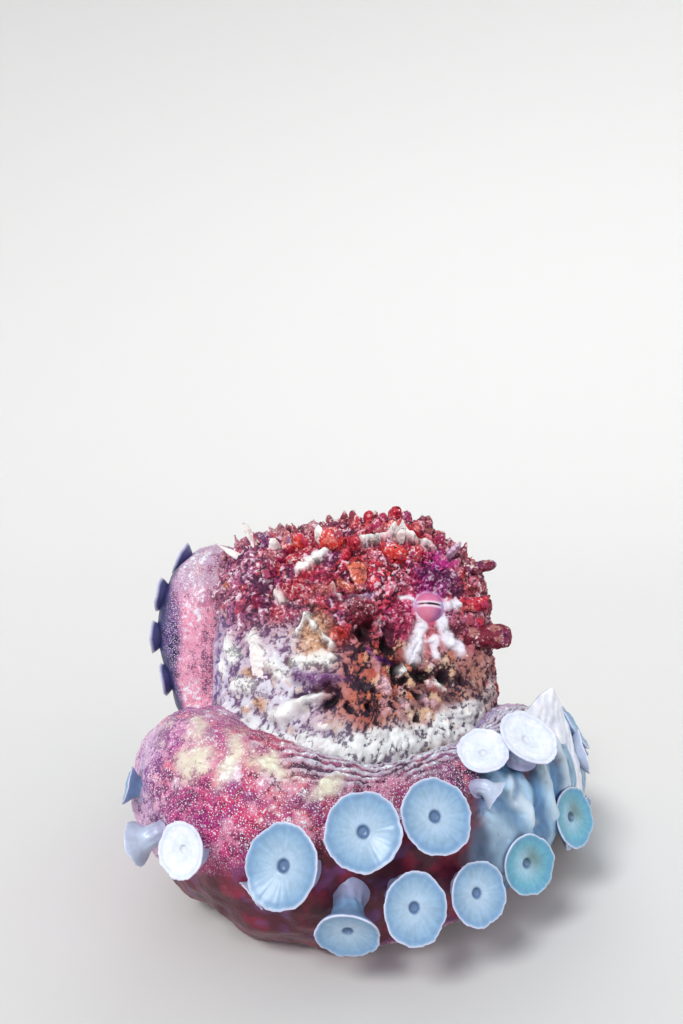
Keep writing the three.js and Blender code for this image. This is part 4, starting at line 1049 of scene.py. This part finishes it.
def front_skin(base, u, turn, skin, looks):
    """Adds the front arm's paler shoulder, the wavy folds along its top and its blotches. Gives their relief."""
    shoulder = smooth(-92, -108, base[..., 0] + 5 * rough(base, 10, 68))
    upward = turn + 0.16 * noise(base, 13, 90)
    top = smooth(1.0, 1.42, upward) * (1 - smooth(2.3, 2.7, upward))
    top = top * (smooth(0.2, 0.26, u) * (1 - smooth(0.5, 0.6, u)))[:, None]
    wave = np.sin(turn * 42 + 5.0 * noise(base, 13, 91) + 2.6 * noise(base, 5, 92) + 0.9 * noise(base, 2, 93))
    wave = wave * (0.5 + 0.5 * smooth(-0.35, 0.15, noise(base, 7, 94)))
    relief = top * (wave * 0.75 + 0.5)
    # The folds along the top are pale on their crests and dark in their troughs; the dark in the troughs is
    # painted shade.
    looks["flesh"] = tint_and_painted_light(looks["flesh"], [
        ((220, 184, 214), 0.62 * shoulder * skin), ((198, 198, 214), 0.9 * top * smooth(-0.4, 0.4, wave)),
        ((104, 80, 108), 0.85 * top * smooth(-0.1, -0.8, wave)),
    ])
    looks["crease"] = tint_and_painted_light(looks["crease"], [((70, 44, 70), top)])
    looks["shade"] = looks["shade"] + top * (wave * 0.3 + 0.06)
    looks["dots"] = looks["dots"] * (1 - 0.8 * top)
    ragged = base + 2.6 * drift(base, 5, 95)
    for place, way, half_long, half_wide in BLOTCHES:
        way = unit(way)
        away = (ragged - np.array(place)) * np.array([1, 0.2, 1])
        lengthwise = away @ way
        sideways = np.linalg.norm(away - lengthwise[..., None] * way, axis=-1)
        spot = np.exp(-((lengthwise / half_long) ** 2 + (sideways / half_wide) ** 2) ** 1.5)
        for part, hue, share in (
            ("flesh", (226, 222, 198), 1.0), ("crease", (190, 150, 160), 0.8), ("tips", (238, 236, 216), 1.0),
        ):
            looks[part] = tint_and_painted_light(looks[part], [(hue, share * spot)])
        looks["shade"], looks["dots"] = looks["shade"] + 0.2 * spot, looks["dots"] * (1 - 0.5 * spot)
        relief = relief + 0.6 * spot
    return relief


def left_arm_tints_and_shade(base, skin, looks):
    """Tints the left arm pink low down and greyer at its bend, and paints indigo shade along its far side, where
    it turns from the light.
    """
    x, _, z = np.moveaxis(base, -1, 0)
    # Painted shade: indigo on the far side of the arm, where it turns from the light.
    painted_shade = smooth(-114, -120, x + 5 * rough(base, 10, 68)) * (1 - smooth(112, 128, z))
    looks["flesh"] = tint_and_painted_light(looks["flesh"], [
        ((244, 158, 184), 0.8 * (1 - smooth(108, 124, z)) * skin),
        ((198, 174, 192), 0.6 * smooth(112, 130, z) * skin), ((62, 52, 128), 0.9 * painted_shade),
    ])
    looks["crease"] = tint_and_painted_light(looks["crease"], [((20, 18, 66), painted_shade), ((156, 84, 124), 0.7 * (1 - painted_shade) * skin)])
    looks["tips"] = tint_and_painted_light(looks["tips"], [((176, 170, 222), 0.7 * painted_shade)])
    looks["shade"] = looks["shade"] + 0.2 * (1 - painted_shade) * (x < -104)


def under_skin(name, base, along, turn, oral):
    """The colour of the face that carries the suckers, and how far its folds stand out."""
    front = name == FRONT_ARM
    pale = smooth(10, 34, base[..., 0] + 5 * rough(base, 12, 63)) if front else np.full(base.shape[:2], 0.35)
    drape = np.sin(along / 3.0 + 3.0 * noise(base, 14, 64) + 0.9 * turn) * pale * oral * front
    buried = (1 - pale) * front
    colour = mix(ORAL_SKIN, ORAL_PALE, pale * (0.75 + 0.25 * rough(base, 9, 60)))
    # Pale blue-white on the crests of the drape folds is painted highlight, and darker blue in their troughs is
    # painted shade.
    colour = tint_and_painted_light(colour, [
        ((178, 214, 240), 0.7 * np.clip(drape, 0, 1)), ((84, 132, 180), 0.6 * np.clip(-drape, 0, 1)),
        ((150, 30, 62), 0.7 * buried * smooth(-0.05, 0.35, rough(base, 6, 70))),
        ((124, 70, 140), 0.5 * buried * smooth(0.1, 0.45, rough(base, 4.5, 72))),
        ((112, 60, 84), 0.5 * pale * smooth(0.15, 0.5, rough(base, 10, 66))),
    ])
    colour = colour * (1 + 0.1 * np.sin(along / 0.55 + 6 * noise(base, 9, 74)) * pale)[..., None]
    relief = 0.9 * drape
    flat = (base + 2.5 * drift(base, 6, 76)) * np.array([1, 0, 1])
    for a, b, half, tall, hue in ORAL_MARKS if front else []:
        mark = np.exp(-(to_segment(flat, a, b) / half) ** 3) * smooth(-60, -75, base[..., 1]) * oral
        colour, relief = mix(colour, hue, 0.8 * mark), relief + tall * mark
    # The left arm's sucker face is painted dark blue: painted shade on its far side.
    if name == DARK_ARM:
        colour = tint_and_painted_light(colour, [((46, 48, 104), 0.9 * oral)])
    return colour, relief


def make_arm(name, rows, turns):
    """An arm's skin round its middle line."""
    arm = Arm(ARMS[name])
    u = np.concatenate([np.linspace(a, b, n, endpoint=False) for a, b, n in rows] + [[1.0]])
    turn = (spread(*turns) + np.pi) % (2 * np.pi) - np.pi
    here, _, under, across, tall, thick = arm.frame(u)
    close = np.sqrt(np.clip(1 - ((u - 0.985) / 0.0151).clip(0) ** 2, 0.002, 1))  # rounds the tip off
    tall, thick = tall * close, thick * close
    ring = under[:, None] * (thick[:, None] * np.cos(turn))[..., None]
    ring = ring + across[:, None] * (tall[:, None] * np.sin(turn))[..., None]
    base, normal = here[:, None] + ring, unit(ring)
    size = (np.sqrt(tall * thick) / 20)[:, None]
    edge = np.radians(track(ARMS[name].get("oral", [(0, 50), (1, 50)]), u))[:, None]
    oral = 1 - smooth(-0.12, 0.14, np.where(turn > 0, turn - edge, -turn - 1.0) + 0.12 * rough(base, 9, 12))
    skin = 1 - oral
    grains, tag = domes(base, 2.0, 71, 1.6)
    bumps, bump_tag = domes(base + 1.5 * drift(base, 4, 81), 4.4, 85, 1.5)
    bumps = np.sqrt(bumps)
    height = rough(base, 15, 31) * 1.6 * size + rough(base, 5, 33) * 0.5 * np.minimum(size + 0.2, 1)
    height = height + ((grains - 0.5) * 0.3 + (bumps - 0.7) * 0.9 * np.minimum(size, 1)) * skin
    shade = 0.5 + 0.4 * rough(base, 12, 55) + 0.25 * rough(base, 3, 56) + 0.2 * (tag - 0.5) + 0.3 * (bumps - 0.75)
    colours = [np.clip(colour * ARM_TINT, 0, 1) for colour in palette(base, ARM_SKIN, 8.0, 8)]
    looks = skin_looks(*colours, shade, 0.5 * skin, skin)
    hues = by_patch(ARM_PATCHES, base, skin) + by_number(ARM_LUMPS, bump_tag, skin)
    looks["flesh"] = tint_and_painted_light(looks["flesh"], hues)
    if name == FRONT_ARM:
        height = height + front_skin(base, u, turn, skin, looks)
    if name == DARK_ARM:
        left_arm_tints_and_shade(base, skin, looks)
    for place, reach, grown in SWELLINGS.get(name, []):
        height = height + grown * np.exp(-np.linalg.norm((base - np.array(place)) / np.array(reach), axis=-1) ** 2)
    colour, relief = under_skin(name, base, u[:, None] * arm.length, turn, oral)
    looks["flesh"] = mix(looks["flesh"], colour * (0.85 + 0.3 * rough(base, 6, 61)[..., None]), oral)
    looks["crease"] = mix(looks["crease"], colour * 0.5, oral)
    looks["tips"] = mix(looks["tips"], colour * 1.2, oral)
    p = base + normal * (height + relief)[..., None]
    p[..., 2] = np.maximum(p[..., 2], 0)
    SURFACES[name] = (p.reshape(-1, 3), normal.reshape(-1, 3))
    parts = ARMS[name].get("parts", ("base", "middle", "tip"))
    build_grid(p, looks, "skin_" + name, ARM_MATERIAL, "arm_skin", [f"{name}_{part}" for part in parts])
    return arm


# Rows along an arm as (from, to, count), and columns round it as (from, to, count) in degrees.
ARM_GRIDS = {
    FRONT_ARM: (((0, .1, 30), (.1, .5, 290), (.5, 1, 110)), ((-70, 130, 165), (130, 290, 55))),
    DARK_ARM: (((0, 1, 270),), ((-180, 180, 120),)),
}
PLAIN_GRID = (((0, 1, 150),), ((-180, 180, 60),))
arms = {name: make_arm(name, *ARM_GRIDS.get(name, PLAIN_GRID)) for name in ARMS}

# ---- suckers ---------------------------------------------


# Half section of a cup from its hole to its neck, where the stalk starts: way out and height, in radii.
CUP = [
    (0.02, -0.2), (0.1, -0.195), (0.13, -0.17), (0.15, -0.11), (0.17, -0.08), (0.22, -0.075), (0.34, -0.06),
    (0.5, -0.03), (0.66, 0.005), (0.78, 0.035), (0.86, 0.06), (0.92, 0.085), (0.965, 0.1), (0.99, 0.095),
    (1.0, 0.07), (0.985, 0.03), (0.95, -0.02), (0.88, -0.1), (0.78, -0.2), (0.66, -0.32), (0.56, -0.46),
    (0.52, -0.6),
]
COARSE_ROWS = [0, 3, 5, 8, 10, 12, 14, 17, 20]  # the rows of that section that a small sucker keeps
ICE = linear(138, 173, 204)
ICE_RING = linear(104, 144, 194)
RIM_EDGE = linear(216, 218, 244)
# The holes' darker blue is painted shade in their recess.
HOLE = linear(100, 128, 166)
STALK = linear(164, 162, 198)
TEAL = linear(96, 168, 192)
CHALK = linear(238, 243, 254)
# The left arm's stalks are darker as painted shade on its far side.
DUSK = linear(80, 72, 132)  # the stalks of the left arm


def sucker(pieces, centre, facing, radius, foot, out, fine, seed, patch, tint, stalk):
    """A cup with a wavy rim on a stalk that bends to its foot on the arm."""
    chalky = tint is CHALK
    profile = np.array(CUP) if fine else np.array(CUP)[COARSE_ROWS]
    turn = circle(64 if fine else 16)
    facing = unit(facing)
    side = unit(np.cross(facing, UP + 0.01 * seed % 0.1))
    over = np.cross(side, facing)
    r, y = profile[:, :1], profile[:, 1:]
    phase = seed * 1.7
    wave = 0.014 * np.sin(5 * turn + phase) + 0.012 * np.sin(9 * turn + 2.3 * phase) + 0.008 * np.sin(17 * turn)
    wave = wave + 0.008 * np.sin(31 * turn + phase)
    outer = smooth(0.55, 1.0, r)
    spokes = (0.002 if chalky else 0.006) * np.sin(38 * turn + phase)
    spokes = spokes * smooth(0.25, 0.6, r) * (1 - smooth(0.8, 0.95, r))
    reach = r * (1 + wave * outer + 0.025 * np.cos(2 * turn + 1.3 * phase) * r)
    lift = y + outer * (0.02 * np.sin(3 * turn + phase) + 0.9 * wave) + spokes
    cup = centre + radius * (
        side * (reach * np.cos(turn))[..., None] + over * (reach * np.sin(turn))[..., None]
        + facing * lift[..., None]
    )
    neck, root = centre + facing * radius * profile[-1, 1], foot - out * 2.0
    t = np.linspace(0, 1, (10 if fine else 4) + 1)[1:, None]
    pull = 0.35 * np.linalg.norm(neck - root)
    a, b = neck - facing * pull, root + out * pull
    line = neck * (1 - t) ** 3 + 3 * a * t * (1 - t) ** 2 + 3 * b * t ** 2 * (1 - t) + root * t ** 3
    way = unit(-facing * (1 - t) - out * t)
    side_t = unit(side - way * (way @ side)[:, None])
    over_t = np.cross(way, side_t)
    if side_t[0] @ side < 0 or over_t[0] @ over < 0:
        over_t = -over_t
    wide = radius * (profile[-1, 0] * (1 - t) + 0.6 * t) * (1 - 0.16 * np.sin(np.pi * t)) * (1 + 0.16 * t ** 5)
    wrinkle = 0.05 * np.sin(9 * turn + phase + 3 * t) + 0.04 * np.sin(14 * t * np.pi + 2 * np.sin(2 * turn))
    wide = wide * (1 + (1 - t ** 2) * wrinkle)
    ring = side_t[:, None] * (wide * np.cos(turn))[..., None] + over_t[:, None] * (wide * np.sin(turn))[..., None]
    p = np.concatenate([cup, line[:, None] + ring])
    p[..., 2] = np.maximum(p[..., 2], 0)

    share = np.concatenate([r, np.full((len(t), 1), 0.5)])
    inside = np.arange(len(p))[:, None] <= np.argmax(profile[:, 0])
    along = np.concatenate([np.zeros((len(r), 1)), t])
    # Painted shadow: a dark olive wedge inside the teal cups, off to one side of the centre.
    painted_shade = np.exp(-((share * np.cos(turn - 2.6) - 0.3) / 0.26) ** 2 - (share * np.sin(turn - 2.6) / 0.42) ** 2)
    upper_stalk = 0.5 * ICE_RING + 0.5 * tint if stalk is STALK else stalk
    paint = np.broadcast_to(tint, p.shape)
    for colour, amount in (
        (linear(204, 220, 238), 0.45 * (1 - smooth(0.2, 0.8, share))),
        (ICE_RING, (0.25 if chalky else 0.5) * np.exp(-((share - 0.86) / 0.07) ** 2)),
        (RIM_EDGE, smooth(0.94, 0.99, share)),
        # The hole is painted darker than the cup: painted shade in its recess.
        (tint * 0.86 if chalky else HOLE, (1 - smooth(0.15, 0.2, share)) * inside),
        (linear(84, 112, 100), 0.75 * painted_shade * inside * (tint is TEAL)),
        (mix(upper_stalk, stalk, smooth(0.0, 0.7, along)), 0.9 * (1 - inside)),
    ):
        paint = mix(paint, colour, amount)
    streak = np.sin(29 * turn + 3 * phase + 1.5 * np.sin(5 * turn)) + 0.7 * np.sin(47 * turn + phase)
    streak = streak * smooth(0.22, 0.4, share) * (1 - smooth(0.8, 0.95, share)) * inside
    paint = paint * (1 + 0.08 * rough(p, 4, seed) - (0.008 if chalky else 0.04) * streak)[..., None]
    pieces.add_grid(p, {"paint": paint}, patch=patch, ends=(True, False))


def facing_of(heading, tilt):
    heading, tilt = math.radians(heading), math.radians(tilt)
    return np.array([
        math.cos(heading) * math.cos(tilt), math.sin(heading) * math.cos(tilt), math.sin(tilt),
    ])


def formula_suckers(arm, spec):
    """Both rows of an arm: they alternate, and shrink with it. Each is (u, angle round, radius)."""
    made = []
    u, row = spec["first"], 1
    while u < LAST_SUCKER:
        size = track(spec["sizes"], u)
        made.append((u, math.radians(track(spec["rows"], u)) * row, size))
        u += size * track(spec["steps"], u) / arm.length
        row = -row
    return made


def nearest_on(name, place):
    """The point of an arm's skin nearest to a place, and the way out of it."""
    points, ways = SURFACES[name]
    i = np.argmin(np.linalg.norm(points - place, axis=-1))
    return points[i], ways[i]


def over_skin(name, centre, facing, radius):
    """How far an arm's skin stands out past the plane of a cup's rim, within the rim."""
    away = SURFACES[name][0] - centre
    near = away[np.linalg.norm(away, axis=-1) < 1.3 * radius]
    rise = near @ facing
    inside = np.linalg.norm(near - rise[:, None] * facing, axis=-1) < 0.95 * radius
    return rise[inside].max() if inside.any() else -radius


# Suckers of the front arm that stand out on bent stalks: centre, radius, heading and tilt of the mouth, tint.
PLACED = {
    0: ((-107, -112, 40), 8.5, 178, -25, CHALK), 1: ((-115.2, -97, 55.5), 7.3, -165, 15, ICE),
    2: ((-86, -131, 46.7), 9.4, -113, 14, CHALK), 3: ((-61, -133, 32), 6, -150, -35, CHALK),
    4: ((-49.8, -143, 47.3), 13.1, -109, 24, ICE), 5: ((-28, -144, 25.4), 10.9, -92, -26, ICE),
    6: ((-22.8, -142, 58.3), 12.8, -93, 29, ICE), 7: ((-5.7, -144, 33.8), 11, -80, 18, ICE),
    8: ((2.3, -136, 60.7), 12.4, -79, 26, ICE), 9: ((17.2, -134, 33.1), 10.5, -70, 18, ICE),
    10: ((27.3, -115, 59.3), 6, -19, -33, CHALK), 11: ((40.1, -114, 33), 11, -68, 8, TEAL),
    12: ((25.4, -103, 71.5), 10, -100, 53, CHALK), 13: ((65.9, -87, 38.6), 11.6, -54, 14, TEAL),
    14: ((44, -99, 75.3), 12, -64, 48, CHALK), 16: ((78.5, -62, 57), 9.5, -12, 14, CHALK),
}
CROWDED = 15  # the one left out, because sucker 13 stands in its place


# Shares of an arm's length: the last sucker, the end of the stalked ones and the end of the finely made ones.
LAST_SUCKER, STALKED, FINE = 0.965, 0.38, 0.62


def make_suckers(name, arm):
    """Both rows of an arm's suckers. Some of the front arm's stand where the photo shows them."""
    front = name == FRONT_ARM
    found = formula_suckers(arm, ARMS[name] if "sizes" in ARMS[name] else SMALL_SUCKERS)
    tiles = math.ceil(math.sqrt(len(found)))
    groups = {}
    for i, (u, angle, size) in enumerate(found):
        if front and i == CROWDED:
            continue
        foot, out, under = arm.foot(u, angle)
        facing = unit(under * 0.4 + out + UP * (0.2 if front else 0.0))
        foot, out = nearest_on(name, foot)
        centre = foot + facing * size * (0.75 if front and u < STALKED else 0.14)
        centre = centre + facing * np.clip(over_skin(name, centre, facing, size) + 0.1 * size, 0, 0.4 * size)
        centre[2] = max(centre[2], size * 0.35)
        tint = ICE
        if front and i in PLACED:
            centre, size, heading, tilt, tint = PLACED[i]
            centre, facing = np.array(centre, float), facing_of(heading, tilt)
            foot, out = nearest_on(name, centre - facing * size)
        fine = front and u < FINE
        r, c = divmod(i, tiles)
        patch = np.array([c + 0.03, r + 0.03, c + 0.97, r + 0.97]) / tiles
        group = groups.setdefault("suckers_" + name + ("_front" if fine else ""), Pieces())
        sucker(group, centre, facing, size, foot, out, fine, i, patch, tint, DUSK if name == DARK_ARM else STALK)
    for key, pieces in groups.items():
        pieces.build(key, SUCKER_MATERIAL, "sucker")


for arm_name, arm in arms.items():
    make_suckers(arm_name, arm)


# ---- eyes, funnel and web --------------------------------


def ball(rows, cols, margin, across, over, pole):
    """Points of a unit ball, as a grid from one pole to the other."""
    polar, turn = np.linspace(margin, np.pi - margin, rows)[:, None], circle(cols)
    shares = (np.sin(polar) * np.cos(turn), np.sin(polar) * np.sin(turn), np.cos(polar) * np.ones_like(turn))
    return sum(share[..., None] * way for share, way in zip(shares, (across, over, pole)))


def make_eye(name):
    """An eyeball with its iris, and its pupil as a level slit."""
    look = (-0.02, -1.0, 0.1) if name == "eye_right" else (-math.sin(FACING), math.cos(FACING), 0.12)
    look = unit(look)
    across = unit(np.cross(UP, look))
    over = np.cross(look, across)
    grid = ball(90, 120, 0.01, across, over, look)
    radius = 0.985 * EYE_RADIUS  # just inside the solid, under the lids
    p = EYES[name] + radius * grid
    h, v = radius * (grid @ across), radius * (grid @ over)
    front = smooth(0.0, 0.3, grid @ look)
    arch = 2.9 - 0.025 * h ** 2 - 0.05 * h  # the height of the pupil, a level slit
    slit = np.sqrt((h / 5.5) ** 4 + ((v - arch) / (0.46 + 0.02 * h)) ** 2)
    ring = np.exp(-((np.hypot(h, v) - 6.6) / 0.8) ** 2)
    band = np.exp(-((v - arch + 1.0) / 0.5) ** 2) + np.exp(-((v - arch - 0.95) / 0.42) ** 2)
    # Pink turning purple toward the lower right side of the ball: the purple is painted shade.
    paint = mix(linear(216, 130, 160), linear(150, 84, 146), smooth(0, 6, h - 0.5 * v + 2 * rough(p, 4, 7)))
    paint = tint_and_painted_light(paint, [
        ((208, 96, 136), 0.5 * smooth(0.0, 0.7, rough(p, 2.5, 9))), ((214, 114, 164), 0.7 * smooth(3.6, 5.4, v)),
        ((184, 172, 224), 0.85 * ring * smooth(-5, -1, v) * (1 - smooth(3.2, 4.6, v))),
        ((232, 222, 240), 0.9 * np.clip(band, 0, 1) * front * (1 - smooth(5.2, 6.4, np.abs(h)))),
        ((3, 3, 8), (1 - smooth(0.85, 1.1, slit)) * front),
    ])
    build_grid(p, {"paint": paint}, "eyeball_" + name, EYE_MATERIAL, "eye", [name])


# The funnel's half section from its root over its mouth and down its bore: way out and distance along.
FUNNEL_SECTION = [
    (9.0, -17), (8.8, -8), (7.6, 0), (6.6, 8), (6.2, 13), (6.6, 16.2), (6.4, 17.2), (5.6, 17), (4.8, 14), (4.2, 8),
    (3.6, 3), (0.4, 2),
]


def make_funnel():
    """The funnel under the head, a soft tube with a bore."""
    turn, rows = circle(48), np.linspace(0, len(FUNNEL_SECTION) - 1, 60)
    r, y = (np.interp(rows, np.arange(len(FUNNEL_SECTION)), column)[:, None] for column in zip(*FUNNEL_SECTION))
    along = np.array([math.sin(0.3), math.cos(0.3), 0])
    ring = np.cross(along, UP) * np.cos(turn)[..., None] + UP * np.sin(turn)[..., None]
    p = FUNNEL_AT + along * y[..., None] + ring * r[..., None]
    p = p + ring * (0.35 * rough(p, 3, 14))[..., None]
    crease, flesh, tips = palette(p, BODY_SKIN)
    # Darker down the bore, toward the crease colour: painted shade inside the tube.
    bore_shade = smooth(30, 59, np.arange(60) * rows[-1] / 59)[:, None]
    looks = skin_looks(
        crease * 0.6, mix(flesh, crease * 0.3, bore_shade), mix(tips, crease, bore_shade), 0.5 + 0.3 * rough(p, 3, 15), 0.3,
        0.6 * (1 - bore_shade),
    )
    build_grid(p, looks, "siphon", ARM_MATERIAL, "body_skin", ["funnel"])


def make_web():
    """The web between the roots of the arms."""
    grid = ball(70, 150, 0.02, *np.eye(3))
    p = np.array(WEB["centre"]) + grid * np.array(WEB["half"])
    p = p + grid * (rough(p, 10, 17) * 1.2)[..., None]
    p[..., 2] = np.maximum(p[..., 2], 0)
    looks = skin_looks(*palette(p, ARM_SKIN), 0.5 + 0.4 * rough(p, 8, 18), 0.4, 1)
    build_grid(p, looks, "skin_web", ARM_MATERIAL, "arm_skin", ["web"])


# The pale pointed flap of web beside the front arm: its root line and its free edge.
FLAP_ROOT = [
    (38, -88, 62), (44, -86, 60), (52, -84, 56), (60, -80, 50), (67, -76, 44), (72, -73, 38), (76, -70, 32),
]
FLAP_EDGE = [
    (42, -84, 68), (47, -77, 77), (55, -72, 84), (62, -70, 88.5), (67, -69, 79), (72, -68, 67), (76, -68, 46),
]


def make_flap():
    """The flap as a thin sheet with two sides, thinner at its free edge."""
    stops = np.linspace(0, 1, len(FLAP_ROOT))
    s = np.linspace(0, 1, 90)
    root, edge = (
        np.stack([np.interp(s, stops, column) for column in zip(*line)], -1) for line in (FLAP_ROOT, FLAP_EDGE)
    )
    t = np.linspace(0, 1, 40)[None, :, None]
    sheet = root[:, None] * (1 - t) + edge[:, None] * t
    sheet = sheet + np.array([0.3, -1, 0.2]) * (rough(sheet, 9, 24) * 2.2 + rough(sheet, 3, 25) * 0.5)[..., None]
    thick = (1.5 * (1 - t[..., 0]) + 0.35)[..., None] * np.array([0.3, -1, 0.1])
    p = np.concatenate([sheet + thick, (sheet - thick)[:, ::-1]], 1)
    streak = np.sin(70 * s[:, None] + 3 * noise(p, 6, 27)) * 0.5 + 0.5
    paint = mix(linear(196, 204, 224), linear(248, 248, 253), 0.35 + 0.4 * streak + 0.4 * rough(p, 4, 26))
    build_grid(p, {"paint": paint}, "web_flap", SUCKER_MATERIAL, "arm_skin")


for eye in EYES:
    make_eye(eye)
make_funnel()
make_web()
make_flap()


# ---- floor, light and camera -----------------------------


paper = bpy.data.materials.new("stage_paper")
paper.use_nodes = True
for key, value in (("Base Color", (*linear(222, 222, 221), 1)), ("Roughness", 0.95)):
    paper.node_tree.nodes["Principled BSDF"].inputs[key].default_value = value

# Metres: how far the floor reaches, the radius of the bend to the wall, the wall's top, and the floor's height.
FLOOR_REACH, WALL_BEND, WALL_TOP, FLOOR_AT = 1.4, 6.0, 9.0, -0.0002
BEND_STEPS, SPOKES = 48, 96


def stage_piece(name, profile, closed):
    """A round part of the stage, turned from (way out, height) in metres."""
    points = [(r * math.cos(a), r * math.sin(a), z) for r, z in profile for a in circle(SPOKES)[0]]
    faces = [tuple(range(SPOKES))] if closed else []
    for a in range(0, (len(profile) - 1) * SPOKES, SPOKES):
        for i, j in zip(range(SPOKES), [*range(1, SPOKES), 0]):
            faces.append((a + i, a + j, a + SPOKES + j, a + SPOKES + i))
    mesh = bpy.data.meshes.new(name)
    mesh.from_pydata(points, [], faces)
    mesh.polygons.foreach_set("use_smooth", np.ones(len(mesh.polygons), bool))
    mesh.materials.append(paper)
    obj = bpy.data.objects.new(name, mesh)
    bpy.context.scene.collection.objects.link(obj)
    return obj


stage_piece("floor", [(FLOOR_REACH, FLOOR_AT)], True)
bend = [(FLOOR_REACH + WALL_BEND * math.sin(a), FLOOR_AT + WALL_BEND * (1 - math.cos(a)))
        for a in np.linspace(0, math.pi / 2, BEND_STEPS)]
wall = stage_piece("backdrop", [*bend, (FLOOR_REACH + WALL_BEND, WALL_TOP)], False)
wall.visible_shadow = False

world = bpy.data.worlds.new("studio")
bpy.context.scene.world = world
world.use_nodes = True
for key, value in (("Color", (*linear(236, 238, 242), 1)), ("Strength", 0.44)):
    world.node_tree.nodes["Background"].inputs[key].default_value = value


def soft_sun(name, way, strength, angle):
    """An even light along a way, as soft as a source that is angle degrees wide."""
    light = bpy.data.lights.new(name, "SUN")
    light.energy = strength
    light.angle = math.radians(angle)
    lamp = bpy.data.objects.new(name, light)
    lamp.rotation_euler = Vector(way).to_track_quat("-Z", "Y").to_euler()
    bpy.context.scene.collection.objects.link(lamp)


soft_sun("key", (0.5, 0.72, -0.85), 2.1, 18)
soft_sun("fill", (-0.6, 0.6, -0.35), 0.5, 40)
soft_sun("back", (-0.12, -0.9, -0.65), 0.6, 40)

camera = bpy.data.cameras.new("camera")
camera.sensor_width = 36  # millimetres
camera.lens = 24  # millimetres
view = bpy.data.objects.new("camera", camera)
bpy.context.scene.collection.objects.link(view)
view.location = (-0.030, -0.370, 0.165)  # metres
view.rotation_euler = (math.radians(90), 0, 0)
bpy.context.scene.camera = view
bpy.context.scene.view_settings.view_transform = "Standard"
